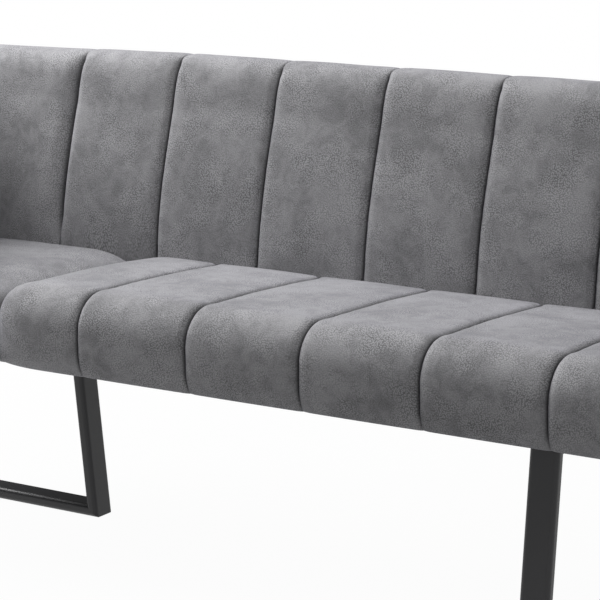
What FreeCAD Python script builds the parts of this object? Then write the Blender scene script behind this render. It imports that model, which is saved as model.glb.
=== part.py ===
import FreeCAD, Part
import math
import os
import Sketcher

# Corner bench of two modules: a channelled main bench and a plain corner seat.
# X runs along the main bench, Y from its front to its back, Z up, in millimetres.
# The modules are laid out from a datum at the joint between their seats, on the seats'
# lower front edge, and are then set down with the whole bench's foot centre at the origin.

SIZES = [
    # The two seats
    ("clear_height", 355.0),
    ("main_length", 1280.0),
    ("seat_depth", 438.0),
    ("seat_front_bulge_depth", 21.0),
    ("seat_widest_height", 68.0),
    ("seat_nose_depth", 60.0),
    ("seat_nose_height", 143.0),
    ("seat_middle_height", 138.5),
    ("seat_rear_height", 124.0),
    ("seat_crown_depth", 8.0),
    ("seat_first_channel_width", 180.0),
    ("seat_channel_width", 215.0),
    ("seat_end_radius", 26.0),
    ("seat_end_draw_depth", 21.0),
    ("corner_end_radius", 38.0),
    ("corner_nose_height", 133.0),
    ("corner_middle_height", 134.0),
    ("corner_rear_height", 125.0),
    ("seat_gap", 0.6),
    # The timber seat frames inside the cushions
    ("rail_thickness", 26.0),
    ("rail_height", 45.0),
    ("front_padding_thickness", 27.0),
    ("end_padding_thickness", 20.0),
    ("rear_cloth_thickness", 2.0),
    ("cross_rail_width", 100.0),
    ("cross_rail_height", 35.0),
    ("cross_rail_spacing", 340.0),
    ("dust_cover_thickness", 1.0),
    ("strap_width", 60.0),
    ("strap_thickness", 2.0),
    ("strap_spacing", 96.0),
    # The backs, in a frame that leans back with them
    ("post_gap", 10.2),
    ("back_lean_angle", 11.3),
    ("back_thickness", 92.0),
    ("back_foam_thickness", 50.0),
    ("back_board_thickness", 12.0),
    ("back_cover_thickness", 4.0),
    ("back_crown_depth", 8.0),
    ("back_belly_depth", 7.0),
    ("back_cushion_foot_height", 133.0),
    ("back_cushion_rear_foot_height", 139.0),
    ("back_frame_foot_height", 22.0),
    ("back_frame_top_height", 440.0),
    ("back_face_drop", 35.0),
    ("back_crest_rise", 61.0),
    ("back_crest_depth", 45.0),
    ("back_shoulder_rise", 20.0),
    ("back_overhang_length", 176.0),
    ("back_channel_width", 218.0),
    ("back_end_radius", 18.0),
    ("back_end_wall_thickness", 6.0),
    ("back_end_step_depth", 6.0),
    ("back_joint_gap", 2.0),
    ("mitre_gap", 0.8),
    ("post_width", 40.0),
    ("post_inset", 60.0),
    ("corner_post_inset", 40.0),
    ("mitre_post_inset", 38.0),
    ("side_post_inset", 73.0),
    ("top_rail_height", 45.0),
    # Angle brackets that carry the backs
    ("bracket_width", 36.0),
    ("bracket_thickness", 4.0),
    ("bracket_foot_length", 53.0),
    ("bracket_rise_height", 112.0),
    # Steel sleds under the seats
    ("tube_width", 50.0),
    ("tube_thickness", 22.0),
    ("tube_wall", 3.0),
    ("tube_edge_radius", 8.0),
    ("sled_lean_share", 0.109),
    ("sled_front_foot_depth", 33.5),
    ("sled_rear_foot_overrun", 62.0),
    ("main_sled_inset", 281.0),
    ("corner_sled_inset", 118.0),
    ("plate_length", 64.0),
    ("plate_width", 92.0),
    ("plate_thickness", 4.0),
    ("plate_front_inset", 40.0),
    ("plate_rear_inset", 95.0),
    ("glide_radius", 9.0),
    ("glide_height", 4.0),
    ("glide_inset", 26.0),
    # Fasteners
    ("screw_shank_radius", 3.0),
    ("screw_head_radius", 6.0),
    ("screw_head_height", 3.5),
    ("screw_length", 26.0),
    ("screw_clearance", 0.3),
    ("plate_screw_half_width", 33.0),
    ("plate_screw_half_length", 20.0),
    ("bracket_screw_half_width", 9.0),
    ("bracket_screw_low_height", 48.0),
    ("bracket_screw_high_height", 92.0),
    # Plates that join the two modules
    ("connector_length", 96.0),
    ("connector_width", 40.0),
    ("connector_thickness", 4.0),
    ("connector_front_inset", 88.0),
    ("connector_rear_inset", 68.0),
]

# Shares of an arc's own chord, where its middle point lies
LOW_FRONT_SHARES = (0.88, 0.5)
NOSE_SHARES = (0.12, 0.62)
SHOULDER_SHARES = (0.26, 0.70)
REAR_SHOULDER_SHARES = (0.78, 0.68)
BOTTOM_DRAW_SHARE = 0.3
CREST_DRAW_SHARE = 0.35
# Steps of a rounded end: share of the radius along the bench, share of the draw-in
ROUND_SHARES = [(0.0, 1.0), (0.08, 0.62), (0.3, 0.29), (0.6, 0.09), (1.0, 0.0)]
# A last channel narrower than this share of the pitch joins its neighbour
LAST_CHANNEL_SHARE = 0.35
# Longest side of a tube's end face, as a share of its width, for telling edges apart
LONG_EDGE_SHARE = 2.0
FLUSH_SHARE = 1e-6

doc = FreeCAD.newDocument("corner_bench")
sheet = doc.addObject("Spreadsheet::Sheet", "sizes")
for row, (name, value) in enumerate(SIZES, start=1):
    sheet.set("A%d" % row, name)
    sheet.set("B%d" % row, "%g" % value)
    sheet.setAlias("B%d" % row, name)
doc.recompute()


def size(name):
    return float(sheet.get(name))


Vector = FreeCAD.Vector
Placement = FreeCAD.Placement
Rotation = FreeCAD.Rotation
X_AXIS = Vector(1, 0, 0)
Y_AXIS = Vector(0, 1, 0)
Z_AXIS = Vector(0, 0, 1)
NODES = []


# Frames of reference

def at(x, y, z):
    return Placement(Vector(x, y, z), Rotation())


def turned(axis, degrees):
    return Placement(Vector(0, 0, 0), Rotation(axis, degrees))


MAIN = Placement()
# In the side frame the length runs along +Y and the depth along -X.
SIDE = turned(Z_AXIS, 90)
LEAN = math.radians(size("back_lean_angle"))


def back_foot():
    """Depth of a back's face line at the seats' lower edge: the posts clear the seat's rear by a gap."""
    board_rear = size("back_foam_thickness") + size("back_board_thickness")
    return size("seat_depth") + size("post_gap") - board_rear / math.cos(LEAN)


def leaning(x=0.0, t=0.0, w=0.0):
    """Place in the leaning frame of a back: x along it, t through it, w up its face."""
    tilt = Placement(Vector(0, back_foot(), 0), Rotation(X_AXIS, -size("back_lean_angle")))
    return tilt.multiply(at(x, t, w))


def face_top():
    """Height up a back's face at which its rolled top begins."""
    return size("back_frame_top_height") - size("back_face_drop")


def crest():
    """Highest line of a back's rolled top, up its face."""
    return size("back_frame_top_height") + size("back_crest_rise")


def shoulder():
    """Height up a back at which the rolled top meets its rear."""
    return size("back_frame_top_height") + size("back_shoulder_rise")


def face_depth(t, z):
    """Depth at height z of the leaning plane that lies t behind the back's face line."""
    return back_foot() + t / math.cos(LEAN) + z * math.tan(LEAN)


# Makers of objects

def keep(obj, label, frame=None, place=None):
    """Name a finished sub-part and set it in its frame."""
    obj.Label = label
    spot = frame or MAIN
    if place is not None:
        spot = spot.multiply(place)
    obj.Placement = spot.multiply(obj.Placement)
    NODES.append(obj)
    return obj


def feature(label, shape, frame=None, place=None):
    obj = doc.addObject("Part::Feature", label)
    obj.Shape = shape
    return keep(obj, label, frame, place)


def box(label, length, width, height, frame=None, place=None, keeping=True):
    """A block whose three sides follow expressions on the sheet."""
    obj = doc.addObject("Part::Box", label)
    for side, rule in (("Length", length), ("Width", width), ("Height", height)):
        obj.setExpression(side, rule)
    doc.recompute()
    if keeping:
        keep(obj, label, frame, place)
    return obj


def drilled(label, blank, holes, frame=None, place=None):
    """A blank with the given hole cores taken out of it."""
    core = doc.addObject("Part::Feature", label + "_holes")
    core.Shape = Part.makeCompound(holes)
    obj = doc.addObject("Part::Cut", label)
    obj.Base = blank
    obj.Tool = core
    doc.recompute()
    return keep(obj, label, frame, place)


def wire(steps):
    """Closed outline from a start point and steps of (end,) lines or (middle, end) arcs."""
    edges = []
    here = steps[0]
    for step in steps[1:]:
        if len(step) == 1:
            edges.append(Part.LineSegment(here, step[0]).toShape())
        else:
            edges.append(Part.Arc(here, step[0], step[1]).toShape())
        here = step[-1]
    edges.append(Part.LineSegment(here, steps[0]).toShape())
    return Part.Wire(edges)


def skin(sections, ruled=False):
    return Part.makeLoft(sections, True, ruled)


def body_sketch(body, role, points):
    """Closed polygon on one of the body's own planes."""
    sketch = body.newObject("Sketcher::SketchObject", body.Name + "_outline")
    plane = [f for f in body.Origin.OriginFeatures if f.Role == role][0]
    sketch.AttachmentSupport = [(plane, "")]
    sketch.MapMode = "FlatFace"
    count = len(points)
    for i in range(count):
        start = Vector(points[i][0], points[i][1], 0)
        end = Vector(points[(i + 1) % count][0], points[(i + 1) % count][1], 0)
        sketch.addGeometry(Part.LineSegment(start, end), False)
    for i in range(count):
        sketch.addConstraint(Sketcher.Constraint("Coincident", i, 2, (i + 1) % count, 1))
    return sketch


def pad(body, sketch, rule):
    feat = body.newObject("PartDesign::Pad", body.Name + "_pad")
    feat.Profile = sketch
    feat.Midplane = True
    feat.setExpression("Length", rule)
    doc.recompute()
    return feat


def screw(place):
    """A pan-head screw, its head's seat at the place and its point along that place's +Z."""
    head = Part.makeCylinder(size("screw_head_radius"), size("screw_head_height"),
                             Vector(0, 0, 0), Vector(0, 0, -1))
    shank = Part.makeCylinder(size("screw_shank_radius"), size("screw_length"))
    whole = head.fuse(shank).removeSplitter()
    whole.Placement = place
    return whole


def screw_hole(place, room=0.0):
    """The core of the hole that a screw at this place runs through."""
    radius = size("screw_shank_radius") + room
    core = Part.makeCylinder(radius, size("screw_length"))
    core.Placement = place
    return core


# Seats

def seat_outline(x, draw, drop, heights):
    """Cross-section of a seat: draw pulls the front in, drop lowers the top."""
    nose, middle, rear = [height - drop for height in heights]
    bulge = size("seat_front_bulge_depth") - draw
    depth = size("seat_depth")
    wide = size("seat_widest_height")
    run = size("seat_nose_depth") + bulge
    rise = nose - wide
    low = Vector(x, -bulge * LOW_FRONT_SHARES[0], wide * LOW_FRONT_SHARES[1])
    front = Vector(x, -bulge, wide)
    bend = Vector(x, -bulge + run * NOSE_SHARES[0], wide + rise * NOSE_SHARES[1])
    top = Vector(x, size("seat_nose_depth"), nose)
    half = Vector(x, (size("seat_nose_depth") + depth) / 2, middle)
    back = Vector(x, depth + rear * math.tan(LEAN), rear)
    return wire([Vector(x, draw * BOTTOM_DRAW_SHARE, 0), (low, front), (bend, top), (half, back),
                 (Vector(x, depth, 0),)])


def rounded_end(start, inward, radius, draw, drop, heights, base_draw=0.0, base_drop=0.0):
    """Sections of a seat's rounded end, from its outer face inwards."""
    cuts = []
    for along, pull in ROUND_SHARES:
        cuts.append(seat_outline(start + inward * along * radius,
                                 base_draw + pull * draw, base_drop + pull * drop, heights))
    return cuts


def channel_seams(first, pitch, start, end):
    """Seam places between start and end; the last channel takes what is left."""
    seams = []
    place = start + first
    while place < end - LAST_CHANNEL_SHARE * pitch:
        seams.append(place)
        place += pitch
    return seams


def hollow(shape, x0, x1):
    """Take the room for the timber frame out of a cushion's underside."""
    deep = size("seat_depth") - size("rear_cloth_thickness") - size("front_padding_thickness")
    tall = size("dust_cover_thickness") + size("rail_height") + size("strap_thickness")
    room = Part.makeBox(x1 - x0, deep, tall, Vector(x0, size("front_padding_thickness"), 0))
    return shape.cut(room)


def behind_side_back(shape):
    """Trim a seat's left end to the lean of the back beside it."""
    depth = size("seat_depth")
    block = Part.makeBox(2 * depth, 4 * depth, 4 * depth, Vector(-2 * depth, -2 * depth, -2 * depth))
    block.Placement = at(-depth, 0, 0).multiply(turned(Y_AXIS, -size("back_lean_angle"))).multiply(
        block.Placement)
    return shape.cut(block)


def main_seat_cushion():
    heights = (size("seat_nose_height"), size("seat_middle_height"), size("seat_rear_height"))
    length = size("main_length")
    gap = size("seat_gap")
    crown = size("seat_crown_depth")
    seams = channel_seams(size("seat_first_channel_width"), size("seat_channel_width"), 0.0, length)
    radius = size("seat_end_radius")
    draw = size("seat_end_draw_depth")

    def full(x, share=0.0):
        return seat_outline(x, crown * share, crown * share, heights)

    pieces = [skin(rounded_end(gap, 1, radius, draw, draw, heights), True)]
    edge = gap + radius
    middle = (edge + seams[0]) / 2
    pieces.append(skin([full(edge), full(middle), full(seams[0], 1.0)]))
    for left, right in zip(seams, seams[1:]):
        pieces.append(skin([full(left, 1.0), full((left + right) / 2), full(right, 1.0)]))
    edge = length - radius
    middle = (edge + seams[-1]) / 2
    pieces.append(skin([full(seams[-1], 1.0), full(middle), full(edge)]))
    pieces.append(skin(rounded_end(length, -1, radius, draw, draw, heights), True))
    whole = pieces[0].multiFuse(pieces[1:])
    whole = hollow(whole, size("end_padding_thickness"), length - size("end_padding_thickness"))
    return feature("main_seat_cushion", whole)


def corner_seat_cushion():
    heights = (size("corner_nose_height"), size("corner_middle_height"), size("corner_rear_height"))
    depth = size("seat_depth")
    radius = size("corner_end_radius")
    draw = size("seat_end_draw_depth")
    gap = size("seat_gap")
    back_fall = size("corner_middle_height") - size("corner_rear_height")
    right = rounded_end(-gap, -1, radius, draw, radius, heights)
    top = seat_outline(-gap - radius, 0.0, 0.0, heights)
    middle = seat_outline(-depth / 2, 0.0, 0.0, heights)
    reach = depth + size("corner_nose_height") * math.tan(LEAN)
    left = seat_outline(-reach, 0.0, back_fall, heights)
    shapes = [skin(right, True), skin([top, middle, left])]
    whole = behind_side_back(shapes[0].fuse(shapes[1]))
    edge = size("end_padding_thickness")
    deep = size("rear_cloth_thickness")
    tall = size("dust_cover_thickness") + size("rail_height") + size("strap_thickness")
    room = Part.makeBox(depth - size("front_padding_thickness") - deep, depth - edge - deep, tall,
                        Vector(-depth + deep, edge, 0))
    return feature("corner_seat_cushion", whole.cut(room))


def plate_screws(places):
    """Screw places, pointing up, about the centres of the sled's plates."""
    spots = []
    for x, y in places:
        for dx in (-1, 1):
            for dy in (-1, 1):
                spots.append(at(x + dx * size("plate_screw_half_width"),
                                y + dy * size("plate_screw_half_length"), -size("plate_thickness")))
    return spots


def sled_top():
    """Depth of the front end of a sled's top bar, on its centre line."""
    rise = size("clear_height") - size("plate_thickness") - size("tube_thickness") / 2
    return size("sled_front_foot_depth") + rise * size("sled_lean_share")


def plate_places(x):
    front = sled_top()
    front += size("plate_front_inset")
    return [(x, front), (x, size("seat_depth") - size("plate_rear_inset"))]


def seat_frame(name, frame, span, far_end, crosses, holes):
    """Timber frame, straps and dust cover of one seat, along the frame's own length."""
    x0 = size("end_padding_thickness")
    x1 = far_end
    y0 = size("front_padding_thickness")
    y1 = size("seat_depth") - size("rear_cloth_thickness")
    z0 = size("dust_cover_thickness")
    thick = size("rail_thickness")
    tall = size("rail_height")
    inner = "sizes.seat_depth - sizes.front_padding_thickness - sizes.rear_cloth_thickness"
    clear = inner + " - 2 * sizes.rail_thickness"
    rail = (span, "sizes.rail_thickness", "sizes.rail_height")
    wood_holes = [screw_hole(place) for place in holes]
    for part, y in (("front_rail", y0), ("rear_rail", y1 - thick)):
        blank = box(name + "_" + part + "_blank", *rail, keeping=False)
        blank.Placement = at(x0, y, z0)
        near = [h for h in wood_holes if h.BoundBox.YMax > y and h.BoundBox.YMin < y + thick]
        if near:
            drilled(name + "_" + part, blank, near, frame)
        else:
            keep(blank, name + "_" + part, frame)
    ends = [Part.makeBox(thick, y1 - y0 - 2 * thick, tall, Vector(x, y0 + thick, z0))
            for x in (x0, x1 - thick)]
    ends_shape = Part.makeCompound(ends).cut(Part.makeCompound(wood_holes))
    feature(name + "_end_rails", ends_shape, frame)
    bars = []
    for x in crosses:
        bar = doc.addObject("Part::Box", name + "_cross_blank")
        bar.setExpression("Length", "sizes.cross_rail_width")
        bar.setExpression("Width", clear)
        bar.setExpression("Height", "sizes.cross_rail_height")
        bar.Placement = at(x - size("cross_rail_width") / 2, y0 + thick, z0)
        bars.append(bar)
    doc.recompute()
    solid = Part.makeCompound([bar.Shape for bar in bars]).cut(Part.makeCompound(wood_holes))
    feature(name + "_cross_rails", solid, frame)
    count = int((x1 - x0 - size("strap_width")) // size("strap_spacing")) + 1
    margin = (x1 - x0 - (count - 1) * size("strap_spacing") - size("strap_width")) / 2
    straps = [Part.makeBox(size("strap_width"), y1 - y0, size("strap_thickness"),
                           Vector(x0 + margin + i * size("strap_spacing"), y0, z0 + tall))
              for i in range(count)]
    feature(name + "_webbing", Part.makeCompound(straps), frame)
    sheet_blank = box(name + "_dust_blank", span, inner, "sizes.dust_cover_thickness", keeping=False)
    sheet_blank.Placement = at(x0, y0, 0)
    drilled(name + "_dust_cover", sheet_blank, wood_holes, frame)


# Backs

def back_outline(x, draw):
    """Cross-section of a back cushion in the leaning frame: front pad and top roll."""
    foot = size("back_cushion_foot_height")
    front = -size("back_crown_depth") + draw
    face = Vector(x, front, face_top())
    belly = Vector(x, front - size("back_belly_depth"), (foot + face_top()) / 2)
    peak = Vector(x, size("back_crest_depth"), crest() - draw * CREST_DRAW_SHARE)
    run = size("back_crest_depth") - front
    rise = peak.z - face.z
    front_bend = Vector(x, front + run * SHOULDER_SHARES[0], face.z + rise * SHOULDER_SHARES[1])
    rear = size("back_thickness")
    fall = peak.z - shoulder()
    across = rear - size("back_crest_depth")
    rear_bend = Vector(x, size("back_crest_depth") + across * REAR_SHOULDER_SHARES[0],
                       shoulder() + fall * REAR_SHOULDER_SHARES[1])
    frame_top = size("back_frame_top_height")
    foam = size("back_foam_thickness")
    return wire([Vector(x, front, foot), (belly, face), (front_bend, peak),
                 (rear_bend, Vector(x, rear, shoulder())),
                 (Vector(x, rear, frame_top),), (Vector(x, foam, frame_top),),
                 (Vector(x, foam, size("back_cushion_rear_foot_height")),)])


def back_end(x, inward):
    """Rounded end of a back cushion and the cloth wall that closes the frame there."""
    radius = size("back_end_radius")
    cuts = [back_outline(x + inward * along * radius, pull * radius) for along, pull in ROUND_SHARES]
    foam = size("back_foam_thickness")
    step = foam + size("back_end_step_depth")
    rear = size("back_thickness")
    foot = size("back_cushion_rear_foot_height")
    low = size("back_frame_foot_height")
    top = size("back_frame_top_height")
    edge = wire([Vector(x, step, low), (Vector(x, rear, low),), (Vector(x, rear, top),),
                 (Vector(x, foam, top),), (Vector(x, foam, foot),), (Vector(x, step, foot),)])
    wall = Part.Face(edge).extrude(Vector(inward * size("back_end_wall_thickness"), 0, 0))
    return [skin(cuts, True), wall]


def cut_mitre(shape, side):
    """Set a back's piece leaning and trim it at the corner's diagonal.

    side is -1 for the run along the rear and 1 for the run along the side.
    """
    reach = size("main_length") + size("seat_depth")
    block = Part.makeBox(reach, 2 * reach, 2 * reach, Vector(0, -reach, -reach))
    if side > 0:
        block.translate(Vector(-reach, 0, 0))
    turn = turned(Z_AXIS, -45 * side)
    gap = at(-side * size("mitre_gap") / 2, 0, 0)
    block.Placement = turn.multiply(gap).multiply(block.Placement)
    shape = shape.copy()
    shape.Placement = leaning().multiply(shape.Placement)
    return shape.common(block)


def main_back_cushion():
    start = -size("back_overhang_length") + size("back_joint_gap") / 2
    end = size("main_length")
    crown = size("back_crown_depth")
    pitch = size("back_channel_width")
    radius = size("back_end_radius")
    seams = channel_seams(pitch, pitch, -size("back_overhang_length"), end)
    left = start + radius
    right = end - radius
    pieces = back_end(start, 1) + back_end(end, -1)
    pieces.append(skin([back_outline(left, 0.0), back_outline((left + seams[0]) / 2, 0.0),
                        back_outline(seams[0], crown)]))
    for a, b in zip(seams, seams[1:]):
        pieces.append(skin([back_outline(a, crown), back_outline((a + b) / 2, 0.0),
                            back_outline(b, crown)]))
    pieces.append(skin([back_outline(seams[-1], crown), back_outline((right + seams[-1]) / 2, 0.0),
                        back_outline(right, 0.0)]))
    whole = pieces[0].multiFuse(pieces[1:])
    return feature("main_back_cushion", whole, MAIN, leaning())


def plain_back(name, frame, start, inward, side, posts):
    """A plain back panel from a free end at start to the diagonal of the corner."""
    reach = size("seat_depth") + crest()
    radius = size("back_end_radius")
    end = start + inward * reach
    edge = start + inward * radius
    foam = skin([back_outline(edge, 0.0), back_outline(end, 0.0)], True)
    pad_shape = foam.multiFuse(back_end(start, inward))
    feature(name + "_cushion", cut_mitre(pad_shape, side), frame)
    inner = start + inward * size("back_end_wall_thickness")
    low = min(inner, end)
    span = abs(end - inner)
    foam_depth = size("back_foam_thickness")
    board_depth = size("back_board_thickness")
    cover = size("back_cover_thickness")
    post_depth = size("back_thickness") - foam_depth - board_depth - cover
    foot = size("back_frame_foot_height")
    top = size("back_frame_top_height")
    board = Part.makeBox(span, board_depth, top - size("back_cushion_rear_foot_height"),
                         Vector(low, foam_depth, size("back_cushion_rear_foot_height")))
    feature(name + "_board", cut_mitre(board, side), frame)
    sheet_back = Part.makeBox(span, cover, top - foot, Vector(low, size("back_thickness") - cover, foot))
    feature(name + "_cover", cut_mitre(sheet_back, side), frame)
    rail = Part.makeBox(span, post_depth, size("top_rail_height"),
                        Vector(low, foam_depth + board_depth, top - size("top_rail_height")))
    feature(name + "_top_rail", cut_mitre(rail, side), frame)
    thin = size("dust_cover_thickness")
    base = Part.makeBox(span, post_depth + cover, thin,
                        Vector(low, foam_depth + board_depth, foot - thin))
    feature(name + "_base_cloth", cut_mitre(base, side), frame)
    back_posts(name, frame, posts)


def post_blocks(posts):
    depth = size("back_thickness") - size("back_foam_thickness") - size("back_board_thickness")
    depth -= size("back_cover_thickness")
    tall = size("back_frame_top_height") - size("top_rail_height") - size("back_frame_foot_height")
    front = size("back_foam_thickness") + size("back_board_thickness")
    return [Part.makeBox(size("post_width"), depth, tall,
                         Vector(x - size("post_width") / 2, front, size("back_frame_foot_height")))
            for x in posts]


def back_posts(name, frame, posts):
    holes = [screw_hole(leaning().inverse().multiply(p)) for x in posts for p in leaning_screws(x)]
    solid = Part.makeCompound(post_blocks(posts)).cut(Part.makeCompound(holes))
    feature(name + "_posts", solid, frame, leaning())


def main_back_frame(posts):
    start = -size("back_overhang_length") + size("back_joint_gap") / 2 + size("back_end_wall_thickness")
    lead = "(sizes.back_joint_gap / 2 + 2 * sizes.back_end_wall_thickness)"
    span = "sizes.main_length + sizes.back_overhang_length - " + lead
    tall = "sizes.back_frame_top_height - sizes.back_cushion_rear_foot_height"
    box("main_back_board", span, "sizes.back_board_thickness", tall, MAIN,
        leaning(start, size("back_foam_thickness"), size("back_cushion_rear_foot_height")))
    post_depth = ("sizes.back_thickness - sizes.back_foam_thickness - sizes.back_board_thickness"
                  " - sizes.back_cover_thickness")
    front = size("back_foam_thickness") + size("back_board_thickness")
    box("main_back_top_rail", span, post_depth, "sizes.top_rail_height", MAIN,
        leaning(start, front, size("back_frame_top_height") - size("top_rail_height")))
    box("main_back_cover", span, "sizes.back_cover_thickness",
        "sizes.back_frame_top_height - sizes.back_frame_foot_height", MAIN,
        leaning(start, size("back_thickness") - size("back_cover_thickness"), size("back_frame_foot_height")))
    box("main_back_base_cloth", span, post_depth + " + sizes.back_cover_thickness",
        "sizes.dust_cover_thickness", MAIN,
        leaning(start, front, size("back_frame_foot_height") - size("dust_cover_thickness")))
    back_posts("main_back", MAIN, posts)


# Angle brackets

def bracket_blank():
    """Bent plate, its foot level under the seat frame and its leg along the leaning posts."""
    thick = size("bracket_thickness")
    outer = size("back_foam_thickness") + size("back_board_thickness")
    inner = outer - thick
    rise = size("bracket_rise_height")
    foot = size("seat_depth") - size("bracket_foot_length")
    points = [(foot, -thick), (face_depth(outer, -thick), -thick), (face_depth(outer, rise), rise),
              (face_depth(inner, rise), rise), (face_depth(inner, 0), 0), (foot, 0)]
    body = doc.addObject("PartDesign::Body", "bracket_blank")
    sketch = body_sketch(body, "YZ_Plane", points)
    pad(body, sketch, "sizes.bracket_width")
    return body


def foot_screws(x):
    """Upward screws through a bracket's foot into the rear rail."""
    depth = size("seat_depth") - size("rear_cloth_thickness") - size("rail_thickness") / 2
    spread = size("bracket_screw_half_width")
    return [at(x + dx * spread, depth, -size("bracket_thickness")) for dx in (-1, 1)]


def leaning_screws(x):
    """Screws through a bracket's leg into the post behind it."""
    seat = size("back_foam_thickness") + size("back_board_thickness") - size("bracket_thickness")
    turn = turned(X_AXIS, -90)
    return [leaning(x, seat, w).multiply(turn)
            for w in (size("bracket_screw_low_height"), size("bracket_screw_high_height"))]


def brackets(name, blank, places):
    """Brackets and their screws at (frame, x) places, each in its own node."""
    solids = []
    screws = []
    room = size("screw_clearance")
    for frame, x in places:
        spots = foot_screws(x) + leaning_screws(x)
        angle = blank.Shape.copy()
        angle.Placement = at(x, 0, 0).multiply(angle.Placement)
        for spot in spots:
            angle = angle.cut(screw_hole(spot, room))
        angle.Placement = frame.multiply(angle.Placement)
        solids.append(angle)
        for spot in spots:
            screws.append(screw(frame.multiply(spot)))
    feature(name + "_brackets", Part.makeCompound(solids))
    feature(name + "_bracket_screws", Part.makeCompound(screws))


# Sleds

def crossing(p, u, q, v):
    """Where the line through p along u meets the line through q along v."""
    det = u[0] * v[1] - u[1] * v[0]
    k = ((q[0] - p[0]) * v[1] - (q[1] - p[1]) * v[0]) / det
    return (p[0] + u[0] * k, p[1] + u[1] * k)


def inset_loop(points, amount):
    """The closed loop moved inwards by an amount, for points given anticlockwise."""
    lines = []
    count = len(points)
    for i in range(count):
        a = points[i]
        b = points[(i + 1) % count]
        run = (b[0] - a[0], b[1] - a[1])
        far = math.hypot(*run)
        normal = (-run[1] / far, run[0] / far)
        lines.append(((a[0] + normal[0] * amount, a[1] + normal[1] * amount), run))
    return [crossing(*lines[i - 1], *lines[i]) for i in range(count)]


def cross_places(place):
    """Cross rails from the one above the sled towards the main bench's left end."""
    edge = size("end_padding_thickness") + size("rail_thickness") + size("cross_rail_width") / 2
    count = int((place - edge) // size("cross_rail_spacing")) + 1
    return [place - i * size("cross_rail_spacing") for i in range(count)]


def sled_loop():
    """Centre line of the sled's closed loop in depth and height, anticlockwise."""
    low = -size("clear_height") + size("glide_height") + size("tube_thickness") / 2
    high = -size("plate_thickness") - size("tube_thickness") / 2
    lean = size("sled_lean_share")
    front = size("sled_front_foot_depth")
    rear = size("seat_depth") + size("sled_rear_foot_overrun")
    up = size("clear_height")
    return [(front + lean * (low + up), low), (rear - lean * (low + up), low),
            (rear - lean * (high + up), high), (front + lean * (high + up), high)]


def tube(label, frame, x, outer, inner, wall_share):
    """One mitred length of rounded tube between two corners of the loop."""
    a, b = outer
    d, c = inner

    def between(p, q, share):
        return (p[0] + (q[0] - p[0]) * share, p[1] + (q[1] - p[1]) * share)

    body = doc.addObject("PartDesign::Body", label)
    bar = pad(body, body_sketch(body, "XZ_Plane", [a, b, c, d]), "sizes.tube_width")
    half = size("tube_width") / 2
    long_edges = []
    for number, edge in enumerate(bar.Shape.Edges, start=1):
        ends = [vertex.Point for vertex in edge.Vertexes]
        flat = all(abs(abs(point.y) - half) < FLUSH_SHARE * half for point in ends)
        if flat and edge.Length > LONG_EDGE_SHARE * size("tube_width"):
            long_edges.append("Edge%d" % number)
    rounded = body.newObject("PartDesign::Fillet", label + "_edges")
    rounded.Base = (bar, long_edges)
    rounded.setExpression("Radius", "sizes.tube_edge_radius")
    doc.recompute()
    before = rounded.Shape.Volume
    loop = [between(a, d, wall_share), between(b, c, wall_share),
            between(c, b, wall_share), between(d, a, wall_share)]
    bore = body.newObject("PartDesign::Pocket", label + "_bore")
    bore.Profile = body_sketch(body, "XZ_Plane", loop)
    bore.Midplane = True
    bore.setExpression("Length", "sizes.tube_width - 2 * sizes.tube_wall")
    doc.recompute()
    if bore.Shape.Volume >= before:
        raise ValueError("the bore of %s cuts nothing" % label)
    body.Tip = bore
    keep(body, label, frame, at(x, 0, 0).multiply(turned(Z_AXIS, 90)))
    return body


def sled(name, frame, x):
    """A closed loop of tube with its plates, screws and glides."""
    half = size("tube_thickness") / 2
    outer = inset_loop(sled_loop(), -half)
    inner = inset_loop(sled_loop(), half)
    share = size("tube_wall") / size("tube_thickness")
    for i, part in enumerate(("runner", "rear_leg", "top_bar", "front_leg")):
        j = (i + 1) % len(outer)
        tube(name + "_" + part, frame, x, (outer[i], outer[j]), (inner[i], inner[j]), share)
    plate = doc.addObject("PartDesign::Body", name + "_plate_blank")
    w = size("plate_width") / 2
    d = size("plate_length") / 2
    sketch = body_sketch(plate, "XY_Plane", [(-w, -d), (w, -d), (w, d), (-w, d)])
    pad(plate, sketch, "sizes.plate_thickness")
    spots = plate_screws(plate_places(x))
    plates = []
    for px, py in plate_places(x):
        one = plate.Shape.copy()
        one.Placement = at(px, py, -size("plate_thickness") / 2)
        plates.append(one)
    cores = [screw_hole(spot, size("screw_clearance")) for spot in spots]
    feature(name + "_plates", Part.makeCompound(plates).cut(Part.makeCompound(cores)), frame)
    feature(name + "_screws", Part.makeCompound([screw(spot) for spot in spots]), frame)
    low = sled_loop()
    glides = []
    for y in (low[0][0] + size("glide_inset"), low[1][0] - size("glide_inset")):
        foot = Part.makeCylinder(size("glide_radius"), size("glide_height"),
                                 Vector(x, y, -size("clear_height")))
        glides.append(foot)
    feature(name + "_glides", Part.makeCompound(glides), frame)


# Connectors between the modules

def connector_depths():
    return (size("connector_front_inset"), size("seat_depth") - size("connector_rear_inset"))


def connector_spots():
    """Screw places into the corner seat's front rail and the main seat's end rail."""
    reach = size("end_padding_thickness") + size("rail_thickness") / 2
    far = size("front_padding_thickness") + size("rail_thickness") / 2
    return [(x, y) for y in connector_depths() for x in (-far, reach)]


def connector_screws():
    return [at(x, y, -size("connector_thickness")) for x, y in connector_spots()]


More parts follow.
